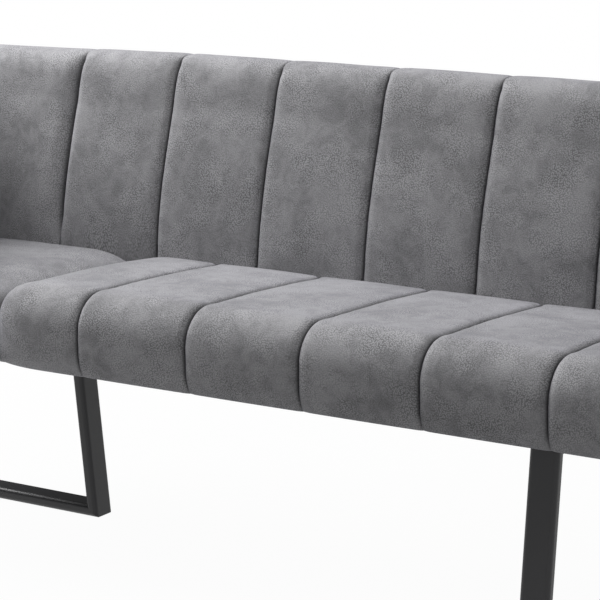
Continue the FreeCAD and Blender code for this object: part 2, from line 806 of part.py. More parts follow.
def connectors():
    blank = box("connector_blank", "sizes.connector_length", "sizes.connector_width",
                "sizes.connector_thickness", keeping=False)
    middle = (size("end_padding_thickness") - size("front_padding_thickness")) / 2
    solids = []
    for y in connector_depths():
        one = blank.Shape.copy()
        one.Placement = at(middle - size("connector_length") / 2, y - size("connector_width") / 2,
                           -size("connector_thickness"))
        solids.append(one)
    holes = [screw_hole(spot, size("screw_clearance")) for spot in connector_screws()]
    feature("module_connectors", Part.makeCompound(solids).cut(Part.makeCompound(holes)))
    feature("connector_screws", Part.makeCompound([screw(spot) for spot in connector_screws()]))


# The bench

def main_posts():
    inset = size("post_inset")
    length = size("main_length")
    return [inset, length / 2, length - inset]


def to_side(spots):
    """The same screw places seen from the side frame."""
    return [SIDE.inverse().multiply(spot) for spot in spots]


rear_x = -size("back_overhang_length") - size("back_joint_gap") / 2
rear_posts = [rear_x - size("corner_post_inset"), size("mitre_post_inset") - size("seat_depth")]
side_posts = [size("post_inset"), size("seat_depth") - size("side_post_inset")]

main_seat_cushion()
sled_x = size("main_length") - size("main_sled_inset")
main_crosses = cross_places(sled_x)
main_holes = plate_screws(plate_places(sled_x))
for post in main_posts():
    main_holes += foot_screws(post)
main_holes += connector_screws()
main_span = "sizes.main_length - 2 * sizes.end_padding_thickness"
main_end = size("main_length") - size("end_padding_thickness")
seat_frame("main", MAIN, main_span, main_end, main_crosses, main_holes)
main_back_cushion()
main_back_frame(main_posts())

corner_seat_cushion()
sled_y = size("seat_depth") - size("corner_sled_inset")
corner_holes = plate_screws(plate_places(sled_y))
for post in side_posts:
    corner_holes += foot_screws(post)
corner_foot = [spot for post in rear_posts for spot in foot_screws(post)]
corner_holes += to_side(corner_foot + connector_screws())
corner_span = "sizes.seat_depth - sizes.rear_cloth_thickness - sizes.end_padding_thickness"
corner_end = size("seat_depth") - size("rear_cloth_thickness")
seat_frame("corner", SIDE, corner_span, corner_end, [sled_y], corner_holes)
plain_back("corner_rear", MAIN, rear_x, -1, -1, rear_posts)
plain_back("corner_side", SIDE, 0.0, 1, 1, side_posts)

angle_blank = bracket_blank()
brackets("main", angle_blank, [(MAIN, x) for x in main_posts()])
brackets("corner", angle_blank, [(MAIN, x) for x in rear_posts] + [(SIDE, x) for x in side_posts])
sled("main_sled", MAIN, sled_x)
sled("corner_sled", SIDE, sled_y)
connectors()
doc.recompute()

# Set the bench down with the centre of its foot at the origin
bounds = FreeCAD.BoundBox()
for node in NODES:
    bounds.add(node.Shape.optimalBoundingBox())
home = Vector(-bounds.Center.x, -bounds.Center.y, -bounds.ZMin)
for node in NODES:
    node.Placement = Placement(home, Rotation()).multiply(node.Placement)
doc.recompute()

# Checks, then one file for each node
for obj in doc.Objects:
    if "Invalid" in obj.State or "Error" in obj.State:
        raise ValueError("%s failed: %s" % (obj.Label, obj.State))
labels = [node.Label for node in NODES]
if len(set(labels)) != len(labels):
    raise ValueError("two nodes share a name")
os.makedirs("parts", exist_ok=True)
for node in NODES:
    if node.Shape.isNull() or not node.Shape.isValid() or not node.Shape.Solids:
        raise ValueError("%s has no valid solid" % node.Label)
    node.Shape.exportStep("parts/%s.step" % node.Label)
print("%d nodes, origin moved by %.2f %.2f %.2f" % (len(NODES), home.x, home.y, home.z))
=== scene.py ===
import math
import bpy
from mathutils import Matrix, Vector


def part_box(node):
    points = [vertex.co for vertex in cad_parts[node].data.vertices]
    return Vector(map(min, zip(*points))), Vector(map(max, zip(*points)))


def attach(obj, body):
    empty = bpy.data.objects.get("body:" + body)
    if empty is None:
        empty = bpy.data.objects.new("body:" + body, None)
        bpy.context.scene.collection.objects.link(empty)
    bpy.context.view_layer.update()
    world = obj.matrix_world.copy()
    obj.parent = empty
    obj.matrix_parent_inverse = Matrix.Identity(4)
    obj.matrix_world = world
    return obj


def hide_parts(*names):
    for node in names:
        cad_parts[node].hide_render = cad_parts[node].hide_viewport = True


bl_info = {
    "name": "Corner bench",
    "version": (1, 0, 0),
    "blender": (4, 5, 0),
    "location": "3D View > Sidebar > Corner bench",
    "description": "Covers the frame of a corner bench with its cushions, cloth and finishes",
    "category": "Add Mesh",
}

import bmesh
import bpy
from mathutils import Matrix, Vector, noise

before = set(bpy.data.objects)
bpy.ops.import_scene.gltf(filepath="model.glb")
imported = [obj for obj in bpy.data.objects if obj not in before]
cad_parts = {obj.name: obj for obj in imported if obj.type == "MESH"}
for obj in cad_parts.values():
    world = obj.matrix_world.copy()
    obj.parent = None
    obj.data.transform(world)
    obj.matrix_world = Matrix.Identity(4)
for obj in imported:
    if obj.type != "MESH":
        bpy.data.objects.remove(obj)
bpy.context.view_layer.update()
ROOT = "root"
MM = 0.001
WELD = 0.01 * MM

# Joint between the two seats, and half the gap between them
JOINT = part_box("main_seat_cushion")[0].x
SEAT_GAP = 0.6 * MM
# The side back is laid out along X like the others and then turned onto the side
TURNED = Matrix.Rotation(math.pi / 2, 4, "Z")
STRAIGHT = Matrix.Identity(4)
QUARTER_TURN = Matrix.Rotation(math.pi / 2, 4, "Z")


# Sizes and colours that a user would change

def length(name, description, millimetres):
    return bpy.props.FloatProperty(name=name, description=description, unit="LENGTH",
                                   default=millimetres * MM)


def tone(name, description, colour):
    return bpy.props.FloatVectorProperty(name=name, description=description, subtype="COLOR",
                                         default=colour, min=0.0, max=1.0)


def turn_of(name, description, degrees):
    return bpy.props.FloatProperty(name=name, description=description, subtype="ANGLE",
                                   default=math.radians(degrees))


def watts(name, description, power):
    return bpy.props.FloatProperty(name=name, description=description, unit="POWER", default=power)


def plain(name, description, value):
    return bpy.props.FloatProperty(name=name, description=description, default=value)


class CushionSizes(bpy.types.PropertyGroup):
    """How the covers of the cushions lie."""
    cloth_step: length("Cloth step", "Spacing of the cover's mesh round a cushion", 7)
    edge_radius: length("Edge softness", "Radius of a cushion's lower edges", 6)
    crown: length("Crown", "How far a channel stands over its seams, spread over its width", 2)
    roll_depth: length("Seam depth", "How deep the cover rolls into a sewn channel", 11)
    roll_width: length("Seam roll", "Width beside a seam over which the cover rolls in", 16)
    corner_press: length("Corner press", "How much lower the backs' feet stand on the corner seat", 1)
    foot_press: length("Foot press", "How far a back's foot presses into the seat under it", 12)
    corner_droop: length("Corner droop", "Fall of the backs' tops per metre towards the corner", 19.5)
    seat_first_channel: length("First seat channel", "Width of the seat channel at the joint", 180)
    seat_channel: length("Seat channel", "Width of a seat channel", 215)
    back_channel: length("Back channel", "Width of a back channel", 218)
    seat_end_radius: length("Seat end", "Length over which the channelled seat's right end rounds off", 26)
    corner_end_radius: length("Corner seat end", "Length over which the plain seat's end rounds off", 88)
    joint_radius: length("Joint end", "Length over which the channelled seat's joint end rounds off", 85)
    end_draw: length("End draw", "How far a seat's rounded end is drawn in", 21)
    back_end_radius: length("Back end", "Radius of a back's rounded end", 18)
    pressure: plain("Foam pressure", "Pressure under the cover while it settles", 4.0)
    most_move: length("Most settling", "How far a point of the cover may move as it settles", 2)


class Finishes(bpy.types.PropertyGroup):
    """Colours of the cloth, steel and timber."""
    cloth_light: tone("Cloth, brushed light", "Nap that lies towards the light", (0.285, 0.283, 0.293))
    cloth_dark: tone("Cloth, brushed dark", "Nap that lies away from the light", (0.148, 0.148, 0.153))
    steel: tone("Powder coat", "Colour of the coat on the steel", (0.022, 0.022, 0.024))
    timber: tone("Timber", "Colour of the seat frames' spruce", (0.62, 0.43, 0.24))
    plywood: tone("Plywood", "Colour of the backs' boards", (0.56, 0.39, 0.22))


class StudioSettings(bpy.types.PropertyGroup):
    """Camera and lamps."""
    eye: bpy.props.FloatVectorProperty(name="Eye", description="Place of the camera", unit="LENGTH",
                                       default=(2.1902, -3.3407, 1.296))
    yaw: turn_of("Yaw", "Turn of the camera to the left of the depth axis", 32.33)
    pitch: turn_of("Pitch", "Tilt of the camera below the level", 11.84)
    lens: plain("Lens", "Focal length in millimetres", 144.0)
    world_level: plain("World level", "Strength of the room's even light", 0.11)
    key_power: watts("Key lamp", "Power of the large lamp at the upper left", 172.0)
    top_power: watts("Top lamp", "Power of the wide lamp overhead", 50.0)
    fill_power: watts("Fill lamp", "Power of the soft lamp beside the camera", 13.0)


# Small helpers

def choose(*objects):
    """Select these objects and no others; the first becomes the active one."""
    bpy.ops.object.select_all(action="DESELECT")
    for obj in objects:
        obj.select_set(True)
        bpy.context.view_layer.objects.active = objects[0]


def linked(name, data):
    obj = bpy.data.objects.new(name, data)
    bpy.context.scene.collection.objects.link(obj)
    return obj


def object_from(name, mesh):
    """An object at the origin from an edit mesh, which is freed."""
    data = bpy.data.meshes.new(name)
    mesh.to_mesh(data)
    mesh.free()
    return linked(name, data)


def merged_mesh(node):
    """An edit mesh of a CAD node with its loose triangles merged."""
    mesh = bmesh.new()
    mesh.from_mesh(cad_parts[node].data)
    bmesh.ops.remove_doubles(mesh, verts=mesh.verts, dist=WELD)
    return mesh


def clear_finish(obj, material):
    obj.data.materials.clear()
    obj.data.materials.append(material)


def finish_piece(obj, material, slot, *nodes):
    """Give a modelled piece its material and its ride on the bench, and hide the CAD nodes it replaces."""
    clear_finish(obj, MATERIALS[material])
    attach(obj, ROOT)
    if nodes:
        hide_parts(*nodes)


# Angle up to which faces are shaded as one surface, in degrees
SOFT_ANGLE, HARD_ANGLE = 50.0, 35.0


def smooth(obj, degrees):
    choose(obj)
    bpy.ops.object.shade_smooth_by_angle(angle=math.radians(degrees))


def applied(obj, kind, **settings):
    """Add a modifier with its settings and apply it."""
    choose(obj)
    modifier = obj.modifiers.new(kind.lower(), kind)
    for key, value in settings.items():
        setattr(modifier, key, value)
    bpy.ops.object.modifier_apply(modifier=modifier.name)


def held_within(share):
    return min(1.0, max(0.0, share))


def stepped(value, low, high):
    """Smooth rise from 0 at low to 1 at high."""
    share = held_within((value - low) / (high - low))
    return share * share * (3.0 - 2.0 * share)


def eased(least, share):
    """Rise from a least value at 0 to 1 at 1."""
    return least + (1.0 - least) * share


def mean(points):
    return sum(points, points[0] * 0.0) / len(points)


# Shader node groups and materials

GROUPS = {}
MATERIALS = {}


def add(tree, kind, **settings):
    node = tree.nodes.new(kind)
    for key, value in settings.items():
        setattr(node, key, value)
    return node


def feed(tree, socket, value):
    """Join a socket to an input, or write a plain value into it."""
    if isinstance(value, bpy.types.NodeSocket):
        tree.links.new(value, socket)
    else:
        socket.default_value = value


def fed(tree, kind, values, **settings):
    """A node with its inputs filled by name or number."""
    node = add(tree, kind, **settings)
    for key, value in values.items():
        feed(tree, node.inputs[key], value)
    return node


def new_group(name, outputs, **numbers):
    """A group that reads a vector and some numbers, with its open ends."""
    group = bpy.data.node_groups.new(name, "ShaderNodeTree")
    group.interface.new_socket(name="Vector", in_out="INPUT", socket_type="NodeSocketVector")
    for label, value in numbers.items():
        socket = group.interface.new_socket(name=label, in_out="INPUT", socket_type="NodeSocketFloat")
        socket.default_value = value
    for label in outputs:
        group.interface.new_socket(name=label, in_out="OUTPUT", socket_type="NodeSocketFloat")
    GROUPS[name] = group
    return group, add(group, "NodeGroupInput").outputs, add(group, "NodeGroupOutput").inputs


def noise_value(tree, vector, scale, detail, roughness=0.5, distortion=0.0):
    return fed(tree, "ShaderNodeTexNoise", {"Vector": vector, "Scale": scale, "Detail": detail,
                                            "Roughness": roughness, "Distortion": distortion}).outputs["Fac"]


def ranged(tree, value, low, high, to_low=0.0, to_high=1.0):
    return fed(tree, "ShaderNodeMapRange", {"Value": value, "From Min": low, "From Max": high,
                                            "To Min": to_low, "To Max": to_high},
               interpolation_type="SMOOTHSTEP").outputs[0]


def combined(tree, operation, a, b):
    return fed(tree, "ShaderNodeMath", {0: a, 1: b}, operation=operation).outputs[0]


def times(tree, a, b):
    return combined(tree, "MULTIPLY", a, b)


def mixed(tree, share, a, b):
    """Colour between a and b by a share."""
    node = fed(tree, "ShaderNodeMix", {"Factor": share}, data_type="RGBA")
    for name, value in (("A", a), ("B", b)):
        socket = [s for s in node.inputs if s.name == name and s.type == "RGBA"][0]
        feed(tree, socket, value if isinstance(value, bpy.types.NodeSocket) else (*value[:3], 1.0))
    return [s for s in node.outputs if s.type == "RGBA"][0]


def build_nap_group():
    """Brushed nap: mottled clouds, a fine grain, and a pebble that shows in some patches only; masks for a
    painted highlight on the pebble's tops and painted shade in its gaps.
    """
    group, given, out = new_group("brushed_nap", ("Cloud", "Pebble_highlight", "Gap_shade", "Grain", "Height"))
    place = given["Vector"]
    broad = noise_value(group, place, 8.0, 2.0, 0.5, 0.4)
    mottle = noise_value(group, place, 34.0, 6.0, 0.74, 0.8)
    both = combined(group, "ADD", times(group, broad, 0.42), times(group, mottle, 0.58))
    cells = fed(group, "ShaderNodeTexVoronoi", {"Vector": place}, feature="F1", voronoi_dimensions="2D")
    cells.inputs["Scale"].default_value = 360.0
    cells.inputs["Randomness"].default_value = 0.95
    pebble = ranged(group, cells.outputs["Distance"], 0.60, 0.15)
    shown = ranged(group, noise_value(group, place, 15.0, 3.0, 0.6), 0.42, 0.60, 0.25, 1.0)
    grain = noise_value(group, place, 620.0, 2.0, 0.65)
    feed(group, out["Cloud"], ranged(group, both, 0.36, 0.64))
    # The pebble pattern's tops take a painted highlight, and the gaps between them painted shade
    feed(group, out["Pebble_highlight"], times(group, pebble, shown))
    feed(group, out["Gap_shade"], times(group, combined(group, "SUBTRACT", 1.0, pebble), shown))
    feed(group, out["Grain"], ranged(group, grain, 0.32, 0.68))
    feed(group, out["Height"], combined(group, "ADD", times(group, pebble, 0.6), times(group, grain, 0.4)))


def build_weave_group():
    """Crossing threads, as many per metre as the density says, and their slow variation."""
    group, given, out = new_group("plain_weave", ("Threads", "Variation"), Density=900.0)
    fine = fed(group, "ShaderNodeVectorMath", {0: given["Vector"], "Scale": given["Density"]},
               operation="SCALE").outputs[0]
    waves = [fed(group, "ShaderNodeTexWave", {"Vector": fine, "Scale": 0.314, "Distortion": 0.6,
                                              "Detail": 1.0},
                 wave_type="BANDS", bands_direction=way).outputs["Fac"] for way in ("X", "Y")]
    feed(group, out["Threads"], times(group, *waves))
    feed(group, out["Variation"], noise_value(group, given["Vector"], 22.0, 4.0, 0.6))


def build_grain_group():
    """Timber grain along one axis, in soft rings with fine pores."""
    group, given, out = new_group("timber_grain", ("Rings", "Pores"))
    drawn, thin = [fed(group, "ShaderNodeVectorMath", {0: given["Vector"], 1: (1.0, across, across)},
                       operation="MULTIPLY").outputs[0] for across in (14.0, 40.0)]
    feed(group, out["Rings"], ranged(group, noise_value(group, drawn, 6.0, 4.0, 0.6, 1.2), 0.35, 0.65))
    feed(group, out["Pores"], noise_value(group, thin, 30.0, 2.0, 0.7))


def build_speckle_group():
    """Fine even speckle for coats, felts and moulded surfaces, and its slow drift."""
    group, given, out = new_group("speckle", ("Value", "Drift"), Density=900.0)
    fine = fed(group, "ShaderNodeVectorMath", {0: given["Vector"], "Scale": given["Density"]},
               operation="SCALE").outputs[0]
    feed(group, out["Value"], noise_value(group, fine, 1.0, 2.0, 0.6))
    feed(group, out["Drift"], noise_value(group, given["Vector"], 9.0, 3.0, 0.5))


def new_material(name, group, place_kind, place, density=None, **place_settings):
    """A material with its shader and the outputs of the group that patterns it."""
    material = bpy.data.materials.new(name)
    material.use_nodes = True
    tree = material.node_tree
    tree.nodes.clear()
    shader = add(tree, "ShaderNodeBsdfPrincipled")
    tree.links.new(shader.outputs[0], add(tree, "ShaderNodeOutputMaterial").inputs[0])
    MATERIALS[name] = material
    values = {"Vector": add(tree, place_kind, **place_settings).outputs[place]}
    if density:
        values["Density"] = density
    return tree, shader, fed(tree, "ShaderNodeGroup", values, node_tree=GROUPS[group]).outputs


def bumped(tree, shader, height, distance, strength):
    bump = fed(tree, "ShaderNodeBump", {"Height": height, "Distance": distance, "Strength": strength})
    feed(tree, shader.inputs["Normal"], bump.outputs[0])


def toned(colour, factor):
    return tuple(factor * channel for channel in colour)


def build_cloth(finishes):
    tree, shader, nap = new_material("brushed_microfibre", "brushed_nap", "ShaderNodeUVMap", "UV",
                                     uv_map="cloth")
    colour = mixed(tree, nap["Cloud"], finishes.cloth_dark, finishes.cloth_light)
    pale = toned(finishes.cloth_light, 2.0)
    deep = toned(finishes.cloth_dark, 0.35)
    painted_shade = add(tree, "ShaderNodeAttribute", attribute_name="painted_shade").outputs["Fac"]
    # Grain lightens the colour at random; the pebble's tops get a painted highlight and its gaps painted
    # shade; the covers' seam attribute paints shade into the seams' bottoms, where the nap is also pressed,
    # and where two covers meet
    for mask, share, other in ((nap["Grain"], 0.24, pale), (nap["Pebble_highlight"], 0.42, pale),
                               (nap["Gap_shade"], 0.26, deep), (painted_shade, 0.95, deep)):
        colour = mixed(tree, times(tree, mask, share), colour, other)
    for name, value in (("Base Color", colour),
                        ("Roughness", ranged(tree, nap["Cloud"], 0.0, 1.0, 0.92, 0.78)),
                        ("Sheen Weight", 0.35), ("Sheen Roughness", 0.35),
                        ("Sheen Tint", (0.86, 0.84, 1.0, 1.0)), ("Specular IOR Level", 0.25)):
        feed(tree, shader.inputs[name], value)
    bumped(tree, shader, nap["Height"], 0.4 * MM, 0.6)


def build_finish(name, group, density=None, tint=None, band=None, tones=None, rough=None,
                 roughness=None, relief=None, depth=0.0, strength=1.0, metallic=0.0):
    """A plain finish: two tones, a range of roughness and a fine relief, each by a group's output."""
    tree, shader, given = new_material(name, group, "ShaderNodeTexCoord", "Object", density)
    share = ranged(tree, given[tint], *band) if band else given[tint]
    feed(tree, shader.inputs["Base Color"], mixed(tree, share, *tones))
    feed(tree, shader.inputs["Roughness"], ranged(tree, given[rough], 0.3, 0.7, *roughness))
    shader.inputs["Metallic"].default_value = metallic
    bumped(tree, shader, given[relief], depth, strength)


def build_materials(finishes):
    for build in (build_nap_group, build_weave_group, build_grain_group, build_speckle_group):
        build()
    build_cloth(finishes)
    build_finish("black_powder_coat", "speckle", 900.0, "Drift", None,
                 (finishes.steel, toned(finishes.steel, 1.5)), "Value", (0.36, 0.46),
                 "Value", 0.12 * MM, 0.35)
    build_finish("spruce", "timber_grain", None, "Rings", None,
                 (finishes.timber, toned(finishes.timber, 0.62)), "Pores", (0.55, 0.8),
                 "Pores", 0.3 * MM, 0.4)
    build_finish("plywood", "timber_grain", None, "Rings", None,
                 (finishes.plywood, toned(finishes.plywood, 0.7)), "Pores", (0.6, 0.8),
                 "Pores", 0.25 * MM, 0.4)
    build_finish("elastic_webbing", "plain_weave", 350.0, "Threads", None,
                 ((0.03, 0.03, 0.032), (0.16, 0.15, 0.13)), "Variation", (0.75, 0.95),
                 "Threads", 0.4 * MM, 0.6)
    build_finish("dust_felt", "speckle", 500.0, "Value", (0.35, 0.65),
                 ((0.018, 0.018, 0.02), (0.05, 0.05, 0.052)), "Drift", (0.85, 0.97),
                 "Value", 0.3 * MM, 0.5)
    build_finish("zinc_plate", "speckle", 260.0, "Value", (0.35, 0.65),
                 ((0.55, 0.56, 0.58), (0.68, 0.69, 0.70)), "Value", (0.3, 0.48),
                 "Drift", 0.2 * MM, 0.2, 1.0)
    build_finish("glide_plastic", "speckle", 700.0, "Drift", None,
                 ((0.02, 0.02, 0.02), (0.035, 0.035, 0.036)), "Value", (0.5, 0.7),
                 "Value", 0.1 * MM, 0.4)


# Outlines of the CAD cushions

# Cosine between two edges that still run on straight
STRAIGHT_ON = 0.9995
# How far a line's points go to the middle of their neighbours, and then back out again
EVEN_IN, EVEN_OUT = 0.5, -0.52
# Height above the floor, and how far a back's cover stands in front of its foam's outline there
FULLNESS = ((450, 7), (555, 9), (600, 8), (650, 6.5), (700, 5), (745, 4.5), (755, 4.4),
            (761, 4.1), (768, 3.1), (776, 2.5), (783, 2.6), (790, 3.5), (797, 5), (804, 7),
            (811, 8.9), (818, 10), (826, 9.2), (832, 6.5), (836, 2.5), (838, 0))


def outline(node, turn, place):
    """Closed outline of a CAD cushion cut across its length, as (depth, height) points in order."""
    mesh = merged_mesh(node)
    mesh.transform(turn.inverted())
    everything = mesh.verts[:] + mesh.edges[:] + mesh.faces[:]
    cut = bmesh.ops.bisect_plane(mesh, geom=everything, plane_co=(place, 0.0, 0.0),
                                 plane_no=(1.0, 0.0, 0.0), dist=WELD)
    links = {}
    for part in cut["geom_cut"]:
        if isinstance(part, bmesh.types.BMEdge):
            one, other = part.verts
            links.setdefault(one, []).append(other)
            links.setdefault(other, []).append(one)
    lowest = min(links, key=lambda v: (round(v.co.z, 5), v.co.y))
    steepest = max(links[lowest], key=lambda v: (v.co - lowest.co).normalized().z)
    loop = [lowest, steepest]
    while True:
        ahead = [v for v in links[loop[-1]] if v is not loop[-2]]
        if ahead[0] is lowest:
            break
        loop.append(ahead[0])
    points = [Vector((v.co.y, v.co.z)) for v in loop]
    mesh.free()
    return points


def run_end(points, first):
    """Number of the point where the straight run that starts at a point ends."""
    way = (points[first + 1] - points[first]).normalized()
    last = first + 1
    while last + 1 < len(points):
        if (points[last + 1] - points[last]).normalized().dot(way) < STRAIGHT_ON:
            break
        last += 1
    return last


def corner_points(points):
    """The first point of a line and the ends of its straight runs."""
    corners = [points[0]]
    number = 0
    while number + 1 < len(points):
        number = run_end(points, number)
        corners.append(points[number])
    return corners


def distances(points):
    """Distance along a line up to each of its points."""
    result = [0.0]
    for a, b in zip(points, points[1:]):
        result.append(result[-1] + (b - a).length)
    return result


def resampled(points, step):
    """Points evenly spread along a line, about a step apart, its ends kept."""
    runs = [(b - a).length for a, b in zip(points, points[1:])]
    whole = sum(runs)
    count = max(1, round(whole / step))
    result = [points[0]]
    number = 0
    passed = 0.0
    for i in range(1, count):
        want = whole * i / count
        while passed + runs[number] < want:
            passed += runs[number]
            number += 1
        result.append(points[number].lerp(points[number + 1], (want - passed) / runs[number]))
    result.append(points[-1])
    return result


def evened(points, passes=8):
    """Kinks of a line smoothed away without shrinking it, its ends kept."""
    points = [p.copy() for p in points]
    for weight in (EVEN_IN, EVEN_OUT) * passes:
        middles = [(a + b) / 2 - p for a, p, b in zip(points, points[1:], points[2:])]
        for point, middle in zip(points[1:-1], middles):
            point += middle * weight
    return points


def fullness(height):
    for (low, one), (high, other) in zip(FULLNESS, FULLNESS[1:]):
        if low * MM <= height < high * MM:
            return MM * (one + (other - one) * (height / MM - low) / (high - low))
    return 0.0


def softened(before, corner, after, radius, count=4):
    """A corner rounded between a point on its way in and one on its way out."""
    start = corner + (before - corner).normalized() * radius
    end = corner + (after - corner).normalized() * radius
    return [start.lerp(corner, i / count).lerp(corner.lerp(end, i / count), i / count)
            for i in range(count + 1)]


def seat_profile(node, turn, place, sizes):
    """The shown line of a seat from under its front edge over the top, and the hidden rest."""
    points = outline(node, turn, place)
    front, low = points[0], points[0].y
    rear = max((i for i, p in enumerate(points) if p.y < low + 0.1 * MM), key=lambda i: points[i].x)
    body = points[:rear + 1]
    radius = sizes.edge_radius
    under = Vector((front.x + 2.5 * radius, front.y))
    hidden = [p for p in corner_points(points[rear + 1:]) if p.y > low + WELD or p.x > under.x + radius]
    arc = softened(under, front, body[1], radius)
    rising = [arc[-1]] + [p for p in body[1:] if (p - front).length > radius]
    return [under] + arc[:-1] + evened(resampled(rising, sizes.cloth_step)), hidden


def back_profile(node, turn, place, sizes, deeper=0.0):
    """The shown line of a back from its frame's top over the roll to its foot, and the rest."""
    points = outline(node, turn, place)
    top = run_end(points, 0)
    rear = run_end(points, top)
    start = points[0]
    foot = len(points) - 1
    while foot > 1 and abs((points[foot] - start).normalized().dot(
            (points[foot - 1] - points[foot]).normalized())) > 0.9:
        foot -= 1
    toe = points[foot] + (points[foot] - points[foot - 1]).normalized() * (sizes.foot_press + deeper)
    radius = 0.5 * sizes.edge_radius
    face = points[rear:foot + 1]
    inward = toe + (start - toe).normalized() * 3.0 * radius
    arc = softened(face[-1], toe, inward, radius)
    line = evened(resampled(face + [arc[0]], sizes.cloth_step))
    crest = max(range(len(line)), key=lambda i: line[i].y)
    normals = outward_normals(line)
    for i in range(crest, len(line)):
        line[i] += normals[i] * fullness(line[i].y)
    forward = normals[-1] * fullness(line[-1].y)
    toe += forward
    shown = evened(line, 3) + [p + forward for p in arc[1:]] + [inward + forward]
    return shown, [start, points[top]], toe


def outward_normals(points):
    """Unit normals of an open line, pointing away from the side of its middle."""
    last = len(points) - 1
    normals = []
    for i in range(last + 1):
        way = (points[min(i + 1, last)] - points[max(i - 1, 0)]).normalized()
        normals.append(Vector((way.y, -way.x)))
    half = len(points) // 2
    if normals[half].dot(points[half] - mean(points)) < 0:
        normals = [-n for n in normals]
    return normals


# Covers

# A cushion's end bulges a little inside its rounding: size of each ring to the rim's, and rise
DOME_STEPS = ((0.985, 0.5 * MM), (0.95, 1.1 * MM), (0.88, 1.6 * MM))
# Distances from a seam at which a cover has rings
SEAM_RINGS = [n * MM for n in (0.0, 0.9, 2.2, 4.2, 7.0, 11.0, 16.0, 22.0)]
END_RINGS = 8
# Beside a seam the cover is held, and beyond that it is eased
SEAM_HELD, SEAM_EASED = 2.5 * MM, 12 * MM
# Width of the painted shade in a seam and in a joint between two covers
SEAM_SHADE_WIDTH, JOINT_SHADE_WIDTH = 2.7 * MM, 5 * MM
# Slow unevenness of the foam: depth, waves per metre and start of the noise
RIPPLE_DEPTH, RIPPLE_RATE, RIPPLE_SEED = 1.0 * MM, 9.0, 4.2
# Puckers beside a seam: depth, how far they reach, rates along and up, and start of the noise
PUCKER_DEPTH, PUCKER_REACH, PUCKER_RATES, PUCKER_SEED = 0.7 * MM, 14 * MM, (35.0, 75.0), 8.1
# Shift of the cloth's pattern from one channel to the next, along and up
PANEL_SHIFT = (3.17, 1.73)
# Where the cloth's pattern lies on the caps, and its shift between a cover's two caps
CAP_PATTERN, CAP_SHIFT = (11.0, 7.0), 5.0
# Pattern length of one step over the hidden points, and of an end bulge's whole width
HIDDEN_SPAN, DOME_SPAN = 0.05, 0.1


def quarter(share):
    """Drop of a quarter round, from 1 at its foot to 0 where it meets the flat."""
    return 1.0 - math.sqrt(max(0.0, 1.0 - (1.0 - share) ** 2)) if share < 1.0 else 0.0


class Lay:
    """How one cover lies along its cushion.

    An end's rounding is its length, its draw-in and the share of the bulge inside it.
    """

    def __init__(self, start, end, sizes, seams=(), start_round=None, end_round=None):
        self.start, self.end = start, end
        self.sizes = sizes
        self.seams = list(seams)
        self.rounds = ((start, 1, start_round), (end, -1, end_round))

    def stations(self, extra):
        """Places along the cushion at which the cover has rings."""
        places = {self.start, self.end, *extra}
        for seam in self.seams:
            for n in SEAM_RINGS:
                places.update((seam - n, seam + n))
        for edge, side, rounding in self.rounds:
            if rounding:
                for i in range(1, END_RINGS + 1):
                    angle = math.pi / 2 * i / END_RINGS
                    places.add(edge + side * rounding[0] * (1.0 - math.cos(angle)))
        ordered = []
        for place in sorted(places):
            if not ordered or place - ordered[-1] > 0.2 * MM:
                ordered.append(place)
        step = 1.25 * self.sizes.cloth_step
        filled = [ordered[0]]
        for place in ordered[1:]:
            begin = filled[-1]
            gap = place - begin
            parts = max(1, math.ceil(gap / step))
            filled += [begin + gap * i / parts for i in range(1, parts + 1)]
        return filled

    def seam_pull(self, place):
        """How far the cover is sewn in at a place, and how near the seam it is."""
        if not self.seams:
            return 0.0, 1.0
        marks = [self.start] + self.seams + [self.end]
        seam = min(self.seams, key=lambda s: abs(s - place))
        beside = marks[marks.index(seam) + (1 if place > seam else -1)]
        off = abs(place - seam)
        crown = self.sizes.crown * max(0.0, 1.0 - off / (abs(beside - seam) / 2)) ** 2
        return crown + self.sizes.roll_depth * quarter(off / self.sizes.roll_width), off

    def joint_shade(self, place):
        """Painted shade along an end that meets a neighbour."""
        return max([math.exp(-((place - edge) / JOINT_SHADE_WIDTH) ** 2)
                    for edge, side, rounding in self.rounds if rounding and rounding[2] == 0.0],
                   default=0.0)

    def end_pull(self, place):
        """How far the cover is drawn in by the rounding of an end."""
        return max([rounding[1] * quarter(abs(place - edge) / rounding[0])
                    for edge, side, rounding in self.rounds if rounding], default=0.0)


def unevenness(place, along, off):
    """Slow unevenness of the foam under the cover, and small puckers beside a seam."""
    ripple = RIPPLE_DEPTH * noise.noise(Vector((place * RIPPLE_RATE, along * RIPPLE_RATE, RIPPLE_SEED)))
    fade = math.exp(-(off / PUCKER_REACH) ** 2)
    return ripple + PUCKER_DEPTH * fade * noise.noise(
        Vector((place * PUCKER_RATES[0], along * PUCKER_RATES[1], PUCKER_SEED)))


def cover_rings(lay, flat_until):
    """Rings of a cover: place, whether the hidden side is flat there, size and bulge."""
    rings = []
    for place in lay.stations(flat_until or ()):
        flat = bool(flat_until) and not flat_until[0] + WELD < place < flat_until[1] - WELD
        rings.append((place, flat, 1.0, 0.0))
        if flat_until and place in flat_until:
            rings.append((place, not flat, 1.0, 0.0))
    if flat_until:
        rings.sort(key=lambda r: (r[0], r[1] if abs(r[0] - flat_until[1]) < WELD else not r[1]))
    for (edge, side, rounding), rim in zip(lay.rounds, (rings[0], rings[-1])):
        if rounding:
            dome = [(rim[0], rim[1], size, -side * out * rounding[2]) for size, out in DOME_STEPS]
            rings = dome[::-1] + rings if side > 0 else rings + dome
    return rings


